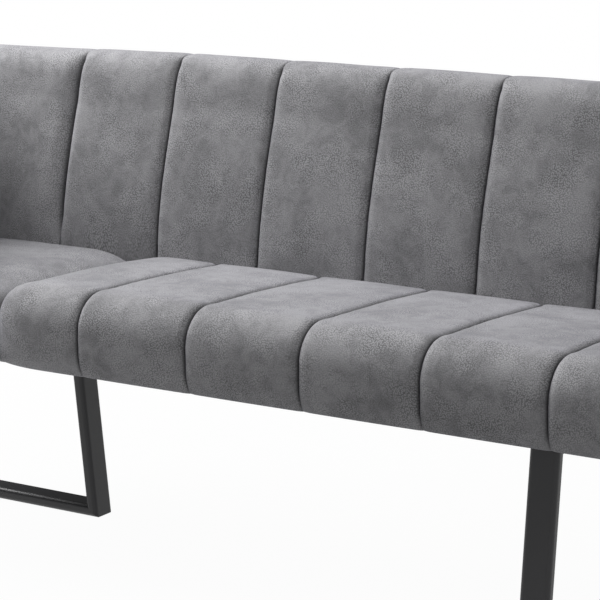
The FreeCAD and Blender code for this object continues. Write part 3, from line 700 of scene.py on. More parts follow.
def loft(name, lay, shown, hidden, shares, reach, turn, flat_level=None, flat_until=None, drop=None):
    """A closed cover over a cushion.

    shares gives, for each shown point, how much of a seam and of an end's rounding reaches it;
    reach stretches a place so that the last ring lies on the plane where the cushion ends.
    """
    normals = outward_normals(shown)
    arcs = distances(shown)
    rings = cover_rings(lay, flat_until)
    mesh = bmesh.new()
    uv = mesh.loops.layers.uv.new("cloth")
    pins = mesh.verts.layers.float.new("pin")
    # Each point's share of painted shade, in the seams and where an end meets a neighbour
    painted_shade_layer = mesh.verts.layers.float.new("painted_shade")
    rows = []
    for place, flat, size, out in rings:
        sewn, off = lay.seam_pull(place)
        end = lay.end_pull(place)
        row = []
        for point, normal, arc, (seam_share, end_share, free) in zip(shown, normals, arcs, shares):
            pull = sewn * seam_share + end * end_share
            if free > 0:
                pull += unevenness(place, arc, off) * free
            spot = point - normal * pull
            if drop:
                spot.y -= drop(place, point)
            vert = mesh.verts.new((reach(place, spot) + out, spot.x, spot.y))
            pinned = 1.0 if size < 1.0 else 1.0 - free
            if lay.seams and off < SEAM_HELD:
                pinned = 1.0
            elif lay.seams and off < SEAM_EASED:
                pinned = max(pinned, 1.0 - off / SEAM_EASED)
            vert[pins] = pinned
            # Painted shade in a seam's bottom, where the nap is also pressed, and painted shade where an end
            # meets a neighbour
            painted_shade = math.exp(-(off / SEAM_SHADE_WIDTH) ** 2) * min(1.0, 1.5 * seam_share)
            vert[painted_shade_layer] = max(painted_shade, lay.joint_shade(place) * min(1.0, end_share))
            row.append(vert)
        for point in hidden:
            level = flat_level if flat else point.y
            vert = mesh.verts.new((reach(place, Vector((point.x, level))) + out, point.x, level))
            vert[pins] = 1.0
            row.append(vert)
        if size < 1.0:
            centre = mean([vert.co for vert in row])
            for vert in row:
                vert.co = centre + (vert.co - centre) * size
        rows.append(row)
    count = len(shown) + len(hidden)
    spans = arcs + [arcs[-1] + HIDDEN_SPAN * (i + 1) for i in range(len(hidden) + 1)]
    for number in range(len(rows) - 1):
        one, other = rings[number], rings[number + 1]
        panel = sum(1 for seam in lay.seams if seam < (one[0] + other[0]) / 2)
        first = one[0] - DOME_SPAN * (1.0 - one[2])
        second = other[0] + DOME_SPAN * (1.0 - other[2])
        for i in range(count):
            j = (i + 1) % count
            face = mesh.faces.new((rows[number][i], rows[number][j],
                                   rows[number + 1][j], rows[number + 1][i]))
            face.smooth = True
            along = (first, first, second, second)
            up = (spans[i], spans[i + 1], spans[i + 1], spans[i])
            for loop, u, v in zip(face.loops, along, up):
                loop[uv].uv = (u + panel * PANEL_SHIFT[0], v + panel * PANEL_SHIFT[1])
    for row, shift in ((rows[0], 0.0), (rows[-1], CAP_SHIFT)):
        for loop in mesh.faces.new(row).loops:
            loop[uv].uv = (loop.vert.co.y + CAP_PATTERN[0] + shift, loop.vert.co.z + CAP_PATTERN[1])
    bmesh.ops.remove_doubles(mesh, verts=mesh.verts, dist=WELD)
    mesh.transform(turn)
    bmesh.ops.recalc_face_normals(mesh, faces=mesh.faces)
    return object_from(name, mesh)


# The settling run: its length, and the cloth's values, slow and damped because it is stiff
SETTLE_FRAMES = 5
CLOTH_VALUES = {"quality": 6, "time_scale": 0.35, "air_damping": 6.0, "mass": 0.3,
                "tension_stiffness": 12.0, "compression_stiffness": 12.0, "shear_stiffness": 4.0,
                "bending_stiffness": 0.6, "pin_stiffness": 1.0, "use_pressure": True}
# How often the moves of neighbouring points are averaged afterwards
AVERAGINGS = 5


def settle(obj, sizes):
    """Let the cover settle over its foam: cloth under pressure, its hidden edges held."""
    choose(obj)
    held = obj.vertex_groups.new(name="held")
    weights = [pin.value for pin in obj.data.attributes["pin"].data]
    for vert, weight in zip(obj.data.vertices, weights):
        held.add([vert.index], weight, "REPLACE")
    before = [v.co.copy() for v in obj.data.vertices]
    modifier = obj.modifiers.new("cloth", "CLOTH")
    cloth = modifier.settings
    for key, value in CLOTH_VALUES.items():
        setattr(cloth, key, value)
    cloth.vertex_group_mass = "held"
    cloth.uniform_pressure_force = sizes.pressure
    cloth.effector_weights.gravity = 0.0
    modifier.collision_settings.use_collision = False
    modifier.collision_settings.use_self_collision = False
    modifier.point_cache.frame_start = 1
    modifier.point_cache.frame_end = SETTLE_FRAMES
    scene = bpy.context.scene
    for number in range(1, SETTLE_FRAMES + 1):
        scene.frame_set(number)
    shaped = obj.evaluated_get(bpy.context.evaluated_depsgraph_get())
    after = [v.co.copy() for v in shaped.data.vertices]
    obj.modifiers.remove(modifier)
    scene.frame_set(1)
    obj.vertex_groups.clear()
    moves = []
    for old, new in zip(before, after):
        step = new - old
        moves.append(step * min(1.0, sizes.most_move / step.length) if step.length else step)
    for _ in range(AVERAGINGS):
        sums = [move.copy() for move in moves]
        counts = [1] * len(moves)
        for edge in obj.data.edges:
            a, b = edge.vertices
            sums[a] += moves[b]
            sums[b] += moves[a]
            counts[a] += 1
            counts[b] += 1
        moves = [total * ((1.0 - weight) / count) for total, weight, count in zip(sums, weights, counts)]
    for vert, old, step in zip(obj.data.vertices, before, moves):
        vert.co = old + step
    print("settled", obj.name, "most", round(max(m.length for m in moves) / MM, 2), "mm")


# Least width of a last channel, to the others
LAST_CHANNEL = 0.35
# Under a back's foot a seat is pressed from just behind the toe, fully after a short rise
PRESS_START, PRESS_FULL = 0.5 * MM, 9 * MM
# A seat's seams are full this far over its lower edge and this far before its rear
SEAT_RISE, SEAT_FADE, SEAT_REAR = 45 * MM, 90 * MM, 30 * MM
# Least share of a seam there, and of an end's rounding at the lower edge and at the rear
LEAST_SEAM, LEAST_ROUND, LEAST_REAR_ROUND = 0.12, 0.3, 0.6
SEAT_SEAM_DEPTH = 0.95
# Along a back's line, its seams start at the frame's top and end at the foot over these lengths
BACK_START, BACK_FOOT, LEAST_START, LEAST_FOOT = 40 * MM, 30 * MM, 0.3, 0.75
# Depths below a back's crest where its shoulder, and the top of its roll, start and are full
SHOULDER, ROLL_TOP = (60 * MM, 25 * MM), (16 * MM, 2 * MM)
SHOULDER_GAIN, ROLL_SEAM_LOSS, ROLL_ROUND_LOSS = 0.1, 0.82, 0.9
# Distances from a back's foot over which its ends' rounding comes in
BACK_ROUND = (12 * MM, 85 * MM)


def channel_seams(first, pitch, start, end):
    """Seam places from the first one on; the last channel takes what is left."""
    seams = []
    place = start + first
    while place < end - LAST_CHANNEL * pitch:
        seams.append(place)
        place += pitch
    return seams


def between(seams):
    """A place just off the middle of the second channel, clear of the solid's own edges."""
    return (seams[1] + seams[2]) / 2 + 1.3 * MM


def pressed(depth, toe, rear, press):
    """How far a back's foot presses the seat down at a depth."""
    fade = held_within((rear - depth) / (rear - toe))
    return stepped(depth, toe + PRESS_START, toe + PRESS_FULL) * press * eased(0.25, fade)


def seat_shares(shown, level):
    """Seams are deep over the front and the top, and fade at the lower edge and the rear."""
    shares = []
    rear = max(p.x for p in shown)
    turned = False
    for point in shown:
        low = held_within((point.y - level) / SEAT_RISE)
        behind = (rear - point.x) / SEAT_FADE
        turned = turned or point.x > rear - SEAT_REAR
        if turned:
            shares.append((LEAST_SEAM, eased(LEAST_REAR_ROUND, low), 0.0))
        else:
            seam = eased(LEAST_SEAM, low) * SEAT_SEAM_DEPTH * eased(0.3, stepped(behind, 0.6, 1.0))
            shares.append((seam, eased(LEAST_ROUND, low), low * held_within(behind - 0.15)))
    return shares


def back_shares(shown):
    """Seams run from the frame's top over the roll and down to the foot."""
    shares = []
    arcs = distances(shown)
    crest = max(p.y for p in shown)
    for point, arc in zip(shown, arcs):
        start = min(1.0, arc / BACK_START)
        foot = min(1.0, (arcs[-1] - arc) / BACK_FOOT)
        shoulder, over = [stepped(point.y, crest - low, crest - high)
                          for low, high in (SHOULDER, ROLL_TOP)]
        seam = eased(LEAST_START, start) * eased(LEAST_FOOT, foot)
        seam *= (1.0 + SHOULDER_GAIN * shoulder) * (1.0 - ROLL_SEAM_LOSS * over)
        end = stepped(arcs[-1] - arc, *BACK_ROUND) * (1.0 - ROLL_ROUND_LOSS * over)
        shares.append((seam, end if start > 0 else LEAST_START, min(start, foot)))
    return shares


def cover_done(obj, sizes, node):
    settle(obj, sizes)
    smooth(obj, SOFT_ANGLE)
    finish_piece(obj, "brushed_microfibre", "upholstery", node)


def unstretched(place, spot):
    return place


# Length of a corner run, up to its free end, that the stretch to the diagonal leaves alone
UNSTRETCHED = 50 * MM
# A seat's rounded end: its length and draw-in to the sizes' own
JOINT_DRAW, CORNER_LENGTH, CORNER_DRAW = 1.5, 1.15, 1.9
# Points of a seat this far below a back's toe or higher belong to its top
TOP_BAND = 15 * MM
# Fall of the corner seat's top all over, and what is added towards its left end
CORNER_FALL, CORNER_LEFT_FALL = 1 * MM, 9 * MM
# That fall starts this far over the seat's lower edge, and is full after this rise
FALL_START, FALL_RISE = 60 * MM, 50 * MM
# The corner seat's hidden side lies flat this near its left and its right end
FLAT_LEFT, FLAT_RIGHT = 2 * MM, 20 * MM
# Where the side back is cut for its toe, and how far from its free end a plain back is cut
SIDE_CUT, RUN_CUT = -0.18, 90 * MM
# A back's end is drawn in by this share of its radius
BACK_DRAW = 0.9
# The backs' tops droop from this far right of the long back's end, and down to below its top rail
DROOP_RUN, DROOP_DEPTH = 212 * MM, 60 * MM
# Beyond the joint the long back's foot drops: start, run, height above the toe, and share of the draw
DROP_START, DROP_RUN, DROP_HEIGHT, DROP_SHARE = 100 * MM, 75 * MM, 40 * MM, 1.6
# The corner's rear back runs this far on, under the long back's end
RUN_ON = 1.8 * MM


def mitre(low, high, turn):
    """Where a corner run ends on the diagonal: its nominal end and the stretch to it."""
    if turn is TURNED:
        way, keep, corner = 1, low.y + UNSTRETCHED, high.y + low.x
        nominal = corner - (low.x + high.x) / 2
    else:
        way, keep, corner = -1, high.x - UNSTRETCHED, low.x + high.y
        nominal = corner - (low.y + high.y) / 2

    def reach(place, spot):
        if (place - keep) * way < 0:
            return place
        return keep + (place - keep) * (corner + way * spot.x - keep) / (nominal - keep)

    return nominal, reach


class BENCH_OT_seats(bpy.types.Operator):
    """Cover the channelled seat and the plain corner seat"""
    bl_idname = "bench.seats"
    bl_label = "Seat cushions"

    def execute(self, context):
        sizes = context.scene.bench_cushions
        node = "main_seat_cushion"
        low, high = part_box(node)
        seams = channel_seams(sizes.seat_first_channel - SEAT_GAP, sizes.seat_channel, low.x, high.x)
        shown, hidden = seat_profile(node, STRAIGHT, between(seams), sizes)
        lay = Lay(low.x, high.x, sizes, seams, (sizes.joint_radius, JOINT_DRAW * sizes.end_draw, 0.0),
                  (sizes.seat_end_radius, sizes.end_draw, 1.0))
        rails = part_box("main_end_rails")
        toe = back_profile("main_back_cushion", STRAIGHT, 0.0, sizes)[2]
        press = sizes.foot_press

        def is_top(point):
            return point.y > toe.y - TOP_BAND

        def under_back(place, point):
            return pressed(point.x, toe.x, high.y, press) if is_top(point) else 0.0

        cover = loft("main_seat_cover", lay, shown, hidden, seat_shares(shown, low.z), unstretched,
                     STRAIGHT, low.z, (rails[0].x, rails[1].x), under_back)
        cover_done(cover, sizes, node)

        node = "corner_seat_cushion"
        low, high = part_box(node)
        shown, hidden = seat_profile(node, STRAIGHT, (low.x + high.x) / 2, sizes)
        left = min(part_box("corner_end_rails")[0].x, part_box("corner_rear_rail")[0].x)
        slope = (left - low.x) / (high.z - low.z)
        nominal = left - FLAT_LEFT

        def reach(place, spot):
            share = (high.x - place) / (high.x - nominal)
            return place - slope * max(0.0, spot.y - low.z) * share ** 2

        centre = (nominal + high.x) / 2
        side_toe = back_profile("corner_side_cushion", TURNED, SIDE_CUT, sizes)[2]

        def under_backs(place, point):
            fall = CORNER_FALL + CORNER_LEFT_FALL * held_within(
                (centre - place) / (centre - low.x)) ** 2
            if is_top(point):
                lower = press + sizes.corner_press
                fall += max(pressed(point.x, toe.x, high.y, lower),
                            pressed(-place, side_toe.x, -low.x, lower))
            return fall * held_within((point.y - low.z - FALL_START) / FALL_RISE)

        lay = Lay(nominal, high.x, sizes,
                  end_round=(CORNER_LENGTH * sizes.corner_end_radius,
                             CORNER_DRAW * sizes.end_draw, 0.0))
        cover = loft("corner_seat_cover", lay, shown, hidden, seat_shares(shown, low.z), reach,
                     STRAIGHT, low.z, (nominal + FLAT_LEFT, high.x - FLAT_RIGHT), under_backs)
        cover_done(cover, sizes, node)
        return {"FINISHED"}


class BENCH_OT_backs(bpy.types.Operator):
    """Cover the channelled back and the corner's two plain backs"""
    bl_idname = "bench.backs"
    bl_label = "Back cushions"

    def execute(self, context):
        sizes = context.scene.bench_cushions
        node = "main_back_cushion"
        low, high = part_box(node)
        seams = channel_seams(sizes.back_channel - 1 * MM, sizes.back_channel, low.x, high.x)
        shown, hidden, toe = back_profile(node, STRAIGHT, between(seams), sizes)
        radius, draw = sizes.back_end_radius, BACK_DRAW * sizes.back_end_radius
        rail_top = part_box("main_back_top_rail")[1].z
        crest = high.z
        from_x = low.x + DROOP_RUN

        def droop(place, point):
            share = stepped(point.y, rail_top - DROOP_DEPTH, crest)
            return share * sizes.corner_droop * max(0.0, from_x - place)

        def droop_and_foot(place, point):
            beyond = stepped(JOINT + DROP_START - place, 0.0, DROP_RUN)
            foot = stepped(-point.y, -toe.y - DROP_HEIGHT, -toe.y)
            return droop(place, point) + beyond * foot * DROP_SHARE * sizes.end_draw

        lay = Lay(low.x, high.x, sizes, seams, (radius, draw, 0.0), (radius, draw, 1.0))
        cover = loft("main_back_cushion_cover", lay, shown, hidden, back_shares(shown), unstretched,
                     STRAIGHT, drop=droop_and_foot)
        cover_done(cover, sizes, node)

        # The corner's two runs meet on the diagonal, where depth and length add up
        node = "corner_rear_cushion"
        low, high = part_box(node)
        shown, hidden, toe = back_profile(node, STRAIGHT, high.x - RUN_CUT, sizes,
                                          sizes.corner_press)
        nominal, to_diagonal = mitre(low, high, STRAIGHT)
        lay = Lay(nominal, high.x + RUN_ON, sizes, end_round=(2 * radius, draw, 0.0))
        cover = loft("corner_rear_cushion_cover", lay, shown, hidden, back_shares(shown),
                     to_diagonal, STRAIGHT,
                     drop=lambda place, point: droop(to_diagonal(place, point), point))
        cover_done(cover, sizes, node)

        node = "corner_side_cushion"
        low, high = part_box(node)
        shown, hidden, toe = back_profile(node, TURNED, low.y + RUN_CUT, sizes, sizes.corner_press)
        nominal, to_mitre = mitre(low, high, TURNED)
        lay = Lay(low.y, nominal, sizes, start_round=(radius, draw, 1.0))
        cover = loft("corner_side_cushion_cover", lay, shown, hidden, back_shares(shown), to_mitre,
                     TURNED, drop=lambda place, point: droop(-point.x, point))
        cover_done(cover, sizes, node)
        return {"FINISHED"}


# Rear panels, end walls and the cloths under and inside

# Rise of a rear panel's padding, how far in it is full, and the rounding of its edge
PANEL_PUFF, PANEL_FULL = 2.2 * MM, 28 * MM
PANEL_EDGE_DROP, PANEL_EDGE = 1.2 * MM, 3 * MM
# Each back: the start of its nodes' names, how it is turned, its panel and its end walls
BACKS = (("main_back", STRAIGHT, "main_rear_panel", ("main_left_end_wall", "main_right_end_wall")),
         ("corner_rear", STRAIGHT, "corner_rear_panel", (None, "corner_rear_end_wall")),
         ("corner_side", TURNED, "corner_side_panel", ("corner_side_end_wall", None)))
# Spacing of the nets of the base cloths, dust covers and straps, and their thicknesses
BASE_NET, BASE_ACROSS, DUST_NET, STRAP_NET = 14 * MM, 0.2, 16 * MM, 15 * MM
BASE_THICK, DUST_THICK, STRAP_THICK = 0.8 * MM, 0.7 * MM, 1.5 * MM
STRAP_RISE = 0.4 * MM
# Slow waves of the base cloths and the dust covers: depths, and where the dust covers' are full
BASE_WAVE, DUST_WAVE, DUST_WAVE_FULL = 0.5 * MM, 0.25 * MM, 20 * MM
# A dust cover's sag, and the distances from the frame where it starts and is full
DUST_SAG, SAG_START, SAG_FULL = 3.5 * MM, 4 * MM, 110 * MM
STAPLE_SIZE = (10 * MM, 1.3 * MM, 0.7 * MM)
STAPLE_INSET, STAPLE_PITCH = 9 * MM, 62 * MM
# The first staples' distances from the corners, along the length and the depth
STAPLE_FIRST = (25 * MM, 55 * MM)


def solids(node):
    """The points of each solid of a CAD node, one list per solid."""
    mesh = merged_mesh(node)
    waiting = set(mesh.verts)
    groups = []
    for first in mesh.verts:
        if first not in waiting:
            continue
        waiting.discard(first)
        reached = [first]
        group = []
        while reached:
            vert = reached.pop()
            group.append(vert.co.copy())
            for edge in vert.link_edges:
                other = edge.other_vert(vert)
                if other in waiting:
                    waiting.discard(other)
                    reached.append(other)
        groups.append(group)
    mesh.free()
    return groups


def corners_of(points):
    """Low and high corner of a list of points."""
    return [Vector([limit(p[i] for p in points) for i in range(3)]) for limit in (min, max)]


def cut_corners(node, turn, place):
    """Corner points of a plain CAD piece cut across its length."""
    return corner_points(outline(node, turn, place))


def off_middle(node, turn):
    """A place near the middle of a back, along its length, clear of the solid's own edges."""
    low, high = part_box(node)
    if turn is TURNED:
        return low.y + 0.3 * (high.y - low.y)
    return (low.x + high.x) / 2 + 0.1 * (high.x - low.x)


def rear_panel(name, node, start, end, sizes, turn, reach):
    """The padded cloth-covered panel that closes a back behind."""
    bottom, top, inner_top, inner_bottom = cut_corners(node, turn, (start + end) / 2)[:4]
    outward = (bottom - inner_bottom).normalized()
    shown = []
    for point in resampled([bottom, top], 9 * MM):
        edge = min((point - bottom).length, (top - point).length)
        soft = PANEL_PUFF * stepped(edge, 0.0, PANEL_FULL) - PANEL_EDGE_DROP * quarter(edge / PANEL_EDGE)
        shown.append(point + outward * soft)
    shares = [(0.0, 0.0, 0.4)] * len(shown)
    panel = loft(name, Lay(start, end, sizes), shown, [inner_top, inner_bottom], shares, reach, turn)
    applied(panel, "BEVEL", width=1.4 * MM, segments=3, limit_method="ANGLE",
            angle_limit=math.radians(60))
    smooth(panel, SOFT_ANGLE)
    finish_piece(panel, "brushed_microfibre", "back_cloth", node)


def end_wall(name, cushion, cover, start, end, sizes, turn):
    """The thin padded wall that closes a back's free end behind its board."""
    middle = off_middle(cover, turn)
    bottom, top = cut_corners(cover, turn, middle)[:2]
    board = cut_corners(cushion, turn, middle)
    step, foot = cut_corners(cushion, turn, (start + end) / 2)[-3:-1]
    shown = resampled([bottom, top], 12 * MM)
    shares = [(0.0, 0.0, 0.0)] * len(shown)
    wall = loft(name, Lay(start, end, sizes), shown, [board[1], board[0], step, foot], shares,
                unstretched, turn)
    applied(wall, "BEVEL", width=2.2 * MM, segments=4, limit_method="ANGLE",
            angle_limit=math.radians(50))
    smooth(wall, SOFT_ANGLE)
    finish_piece(wall, "brushed_microfibre", "upholstery")


def cloth_grid(name, us, vs, at, thickness):
    """A stretched cloth: a net of points made solid."""
    mesh = bmesh.new()
    rows = [[mesh.verts.new(at(u, v)) for v in vs] for u in us]
    for a, b in zip(rows, rows[1:]):
        for i in range(len(vs) - 1):
            mesh.faces.new((a[i], b[i], b[i + 1], a[i + 1])).smooth = True
    bmesh.ops.recalc_face_normals(mesh, faces=mesh.faces)
    obj = object_from(name, mesh)
    applied(obj, "SOLIDIFY", thickness=thickness, offset=0.0)
    return obj


def spread(low, high, step):
    count = max(1, math.ceil((high - low) / step))
    return [low + (high - low) * i / count for i in range(count + 1)]


def joined_pieces(name, objects):
    """Copies of one shape joined into one object."""
    choose(*objects)
    bpy.ops.object.join()
    whole = bpy.context.view_layer.objects.active
    whole.name = whole.data.name = name
    return whole


def copy_at(master, matrix):
    """A copy of a modelled shape with its own mesh, its place in the mesh."""
    data = master.data.copy()
    data.transform(matrix)
    return linked(master.name, data)


class BENCH_OT_rear_panels(bpy.types.Operator):
    """Close the backs behind, at their free ends and under their feet"""
    bl_idname = "bench.rear_panels"
    bl_label = "Rear panels"

    def execute(self, context):
        sizes = context.scene.bench_cushions
        for back, turn, panel, walls in BACKS:
            cushion, cover = back + "_cushion", back + "_cover"
            start, end, reach = self.run(back, cover, turn)
            rear_panel(panel, cover, start, end, sizes, turn, reach)
            axis = 1 if turn is TURNED else 0
            inner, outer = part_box(cover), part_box(cushion)
            for side, wall in enumerate(walls):
                if wall:
                    ends = sorted((inner[side][axis], outer[side][axis]))
                    end_wall(wall, cushion, cover, *ends, sizes, turn)
        for back, turn, *_ in BACKS:
            node = back + "_base_cloth"
            start, end, reach = self.run(back, node, turn)
            corners = cut_corners(node, turn, off_middle(node, turn))
            rear = (corners[0] + corners[1]) / 2
            front = (corners[2] + corners[3]) / 2

            def at(u, v):
                spot = front.lerp(rear, v)
                puff = BASE_WAVE * noise.noise(Vector((u * 30.0, v * 2.0, 1.0)))
                return Vector((reach(u, spot), spot.x, spot.y + puff))

            cloth = cloth_grid(node + "_sheet", spread(start, end, BASE_NET),
                               spread(0.0, 1.0, BASE_ACROSS), at, BASE_THICK)
            cloth.data.transform(turn)
            finish_piece(cloth, "dust_felt", "dust_cloth", node)
        return {"FINISHED"}

    def run(self, back, node, turn):
        """Start and end of a back's piece along it, and its stretch to the corner's diagonal."""
        axis = 1 if turn is TURNED else 0
        start, end = [corner[axis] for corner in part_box(node)]
        if back.startswith("main"):
            return start, end, unstretched
        nominal, reach = mitre(*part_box(back + "_cushion"), turn)
        return (start, nominal, reach) if turn is TURNED else (nominal, end, reach)


class BENCH_OT_under_cloths(bpy.types.Operator):
    """Stretch the dust covers under the seats and the webbing over their frames"""
    bl_idname = "bench.under_cloths"
    bl_label = "Dust covers and webbing"

    def execute(self, context):
        staple = self.model_staple()
        for side in ("main", "corner"):
            self.dust_cover(side, staple)
            self.webbing(side + "_webbing")
        bpy.data.objects.remove(staple)
        return {"FINISHED"}

    def model_staple(self):
        choose()
        bpy.ops.mesh.primitive_cube_add(size=1.0, location=(0.0, 0.0, 0.0))
        staple = bpy.context.object
        staple.name = "staple"
        bpy.ops.object.mode_set(mode="EDIT")
        bpy.ops.mesh.select_all(action="SELECT")
        bpy.ops.transform.resize(value=STAPLE_SIZE)
        bpy.ops.mesh.bevel(offset=0.3 * MM, segments=2)
        bpy.ops.object.mode_set(mode="OBJECT")
        return staple

    def dust_cover(self, side, staple):
        """A cloth that sags between the rails and plates it lies on, stapled round its edge."""
        node = side + "_dust_cover"
        low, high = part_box(node)
        held = []
        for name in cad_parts:
            if name == "module_connectors" or (
                    name.startswith(side) and name.endswith(("rails", "rail", "plates"))
                    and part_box(name)[0].z < high.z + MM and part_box(name)[1].z > low.z - 5 * MM):
                held += [corners_of(points) for points in solids(name)]
        held = [(a, b) for a, b in held if b.z - a.z < 60 * MM]

        def at(u, v):
            near = min(math.hypot(max(a.x - u, 0.0, u - b.x), max(a.y - v, 0.0, v - b.y))
                       for a, b in held)
            sag = DUST_SAG * stepped(near, SAG_START, SAG_FULL)
            wave = DUST_WAVE * noise.noise(Vector((u * 14.0, v * 14.0, 3.0)))
            return Vector((u, v, (low.z + high.z) / 2 - sag + wave * min(1.0, near / DUST_WAVE_FULL)))

        cloth = cloth_grid(node + "_sheet", spread(low.x, high.x, DUST_NET),
                           spread(low.y, high.y, DUST_NET), at, DUST_THICK)
        finish_piece(cloth, "dust_felt", "dust_cloth", node)
        level = low.z - 0.05 * MM
        along, across = [spread(low[i] + STAPLE_FIRST[i], high[i] - STAPLE_FIRST[i], STAPLE_PITCH)
                         for i in range(2)]
        spots = [(x, y, STRAIGHT) for x in along
                 for y in (low.y + STAPLE_INSET, high.y - STAPLE_INSET)]
        spots += [(x, y, QUARTER_TURN) for y in across
                  for x in (low.x + STAPLE_INSET, high.x - STAPLE_INSET)]
        copies = [copy_at(staple, Matrix.Translation((x, y, level)) @ turn) for x, y, turn in spots]
        staples = joined_pieces(node + "_staples", copies)
        finish_piece(staples, "zinc_plate", "zinc_steel")

    def webbing(self, node):
        """Elastic straps, a little higher in their middle than where they are nailed."""
        straps = []
        for points in solids(node):
            a, b = corners_of(points)
            axis = 1 if b.y - a.y > b.x - a.x else 0
            middle = (a.z + b.z) / 2

            def at(u, v):
                share = ((u, v)[axis] - a[axis]) / (b[axis] - a[axis])
                return Vector((u, v, middle + STRAP_RISE * (1.0 - (2.0 * share - 1.0) ** 2)))

            straps.append(cloth_grid("strap", spread(a.x, b.x, STRAP_NET),
                                     spread(a.y, b.y, STRAP_NET), at, STRAP_THICK))
        belts = joined_pieces(node + "_straps", straps)
        finish_piece(belts, "elastic_webbing", "webbing", node)


# Fasteners and glides

HEAD_RADIUS, HEAD_HEIGHT = 6 * MM, 3.5 * MM
SHANK_RADIUS, SHANK_LENGTH = 3 * MM, 26 * MM
TIP_SHARE, TIP_SIZE = 0.2, 0.25
# Length, width and depth of the cross recess, to the head's radius and height
RECESS = (1.05, 0.2, 1.1)
# Turn from one screw to the next, so that their recesses don't line up
SCREW_TURN = 0.7
GLIDE_EDGE = 1.6 * MM


def chosen_faces(obj, test):
    """Go into edit mode with only the faces selected that pass the test."""
    choose(obj)
    bpy.ops.object.mode_set(mode="EDIT")
    bpy.ops.mesh.select_mode(type="FACE")
    bpy.ops.mesh.select_all(action="DESELECT")
    bpy.ops.object.mode_set(mode="OBJECT")
    for face in obj.data.polygons:
        face.select = test(face)
    bpy.ops.object.mode_set(mode="EDIT")


def new_cylinder(name, sides, radius, height):
    """An upright cylinder that stands on the origin."""
    choose()
    bpy.ops.mesh.primitive_cylinder_add(vertices=sides, radius=radius, depth=height,
                                        location=(0.0, 0.0, height / 2))
    bpy.ops.object.transform_apply(location=True)
    bpy.context.object.name = name
    return bpy.context.object


def round_underside(obj, offset):
    chosen_faces(obj, lambda face: face.normal.z < -0.9)
    bpy.ops.mesh.bevel(offset=offset, segments=4, affect="EDGES")
    bpy.ops.object.mode_set(mode="OBJECT")


def model_screw():
    """A pan-head wood screw with a cross recess, its head's face at the origin, pointing up."""
    screw = new_cylinder("screw", 24, HEAD_RADIUS, HEAD_HEIGHT)
    chosen_faces(screw, lambda face: face.normal.z > 0.9)
    bpy.ops.mesh.inset(thickness=HEAD_RADIUS - SHANK_RADIUS)
    for share in (1.0 - TIP_SHARE, TIP_SHARE):
        bpy.ops.mesh.extrude_region_move(
            TRANSFORM_OT_translate={"value": (0.0, 0.0, share * SHANK_LENGTH)})
    bpy.ops.transform.resize(value=(TIP_SIZE, TIP_SIZE, 1.0))
    bpy.ops.object.mode_set(mode="OBJECT")
    round_underside(screw, 0.42 * HEAD_HEIGHT)
    size = (RECESS[0] * HEAD_RADIUS, RECESS[1] * HEAD_RADIUS, RECESS[2] * HEAD_HEIGHT)
    for turn in (0.0, math.pi / 2):
        choose()
        bpy.ops.mesh.primitive_cube_add(size=1.0, location=(0.0, 0.0, 0.0), rotation=(0.0, 0.0, turn))
        blade = bpy.context.object
        bpy.ops.object.mode_set(mode="EDIT")
        bpy.ops.mesh.select_all(action="SELECT")
        bpy.ops.transform.resize(value=size, orient_type="LOCAL")
        bpy.ops.object.mode_set(mode="OBJECT")
        applied(screw, "BOOLEAN", operation="DIFFERENCE", object=blade, solver="EXACT")
        bpy.data.objects.remove(blade)
    smooth(screw, HARD_ANGLE)
    return screw


def screw_frames(node):
    """Head centre and direction of each CAD screw: its thin tip lies farthest from its middle."""
    places = []
    for points in solids(node):
        middle = mean(points)
        far = max(points, key=lambda p: (p - middle).length)
        tip = mean([p for p in points if (p - far).length < 2.1 * SHANK_RADIUS])
        reach = max((p - tip).length for p in points)
        head = mean([p for p in points if (p - tip).length > reach - 0.2 * MM])
        places.append((head, (tip - head).normalized()))
    return places


class BENCH_OT_fasteners(bpy.types.Operator):
    """Model the pan-head screws and the glides"""
    bl_idname = "bench.fasteners"
    bl_label = "Screws and glides"

    def execute(self, context):
        screw = model_screw()
        for node in sorted(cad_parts):
            if node.endswith("screws"):
                copies = []
                for number, (head, way) in enumerate(screw_frames(node)):
                    turn = way.to_track_quat("Z", "Y").to_matrix().to_4x4()
                    spun = Matrix.Rotation(SCREW_TURN * number, 4, "Z")
                    copies.append(copy_at(screw, Matrix.Translation(head) @ turn @ spun))
                screws = joined_pieces(node + "_modelled", copies)
                finish_piece(screws, "zinc_plate", "zinc_steel", node)
        bpy.data.objects.remove(screw)

        for node in sorted(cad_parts):
            if node.endswith("glides"):
                boxes = [corners_of(points) for points in solids(node)]
                low, high = boxes[0]
                glide = new_cylinder("glide", 32, (high.y - low.y) / 2, high.z - low.z)
                round_underside(glide, GLIDE_EDGE)
                smooth(glide, HARD_ANGLE)
                copies = [copy_at(glide, Matrix.Translation(((low.x + high.x) / 2,
                                                             (low.y + high.y) / 2, low.z)))
                          for low, high in boxes]
                glides = joined_pieces(node + "_modelled", copies)
                finish_piece(glides, "glide_plastic", "glide_plastic", node)
                bpy.data.objects.remove(glide)
        return {"FINISHED"}


# Ends of the names of nodes that modelled pieces replace
REPLACED = ("_cushion", "_cover", "_base_cloth", "_webbing", "screws", "glides")


def finish_for(name):
    """Material of a CAD node that keeps its own shape."""
    for word, material in (("bracket", "zinc_plate"), ("connectors", "zinc_plate"),
                           ("sled", "black_powder_coat"), ("board", "plywood")):
        if word in name:
            return material
    return "spruce"


class BENCH_OT_frame(bpy.types.Operator):
    """Give the frame, the sleds and the brackets their finishes"""
    bl_idname = "bench.frame"
    bl_label = "Frame and sleds"

    def execute(self, context):
        for name in sorted(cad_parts):
            if not name.endswith(REPLACED):
                clear_finish(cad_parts[name], MATERIALS[finish_for(name)])
        return {"FINISHED"}


# Stage

# What the lamps point at, and how near and far the floor's shadow fades out, as shares of white
LAMP_TARGET = (0.1, 0.0, 0.45)
SHADOW_FADE = (0.8, 2.4, 0.97, 1.0)
FLOOR_GREY = 0.5


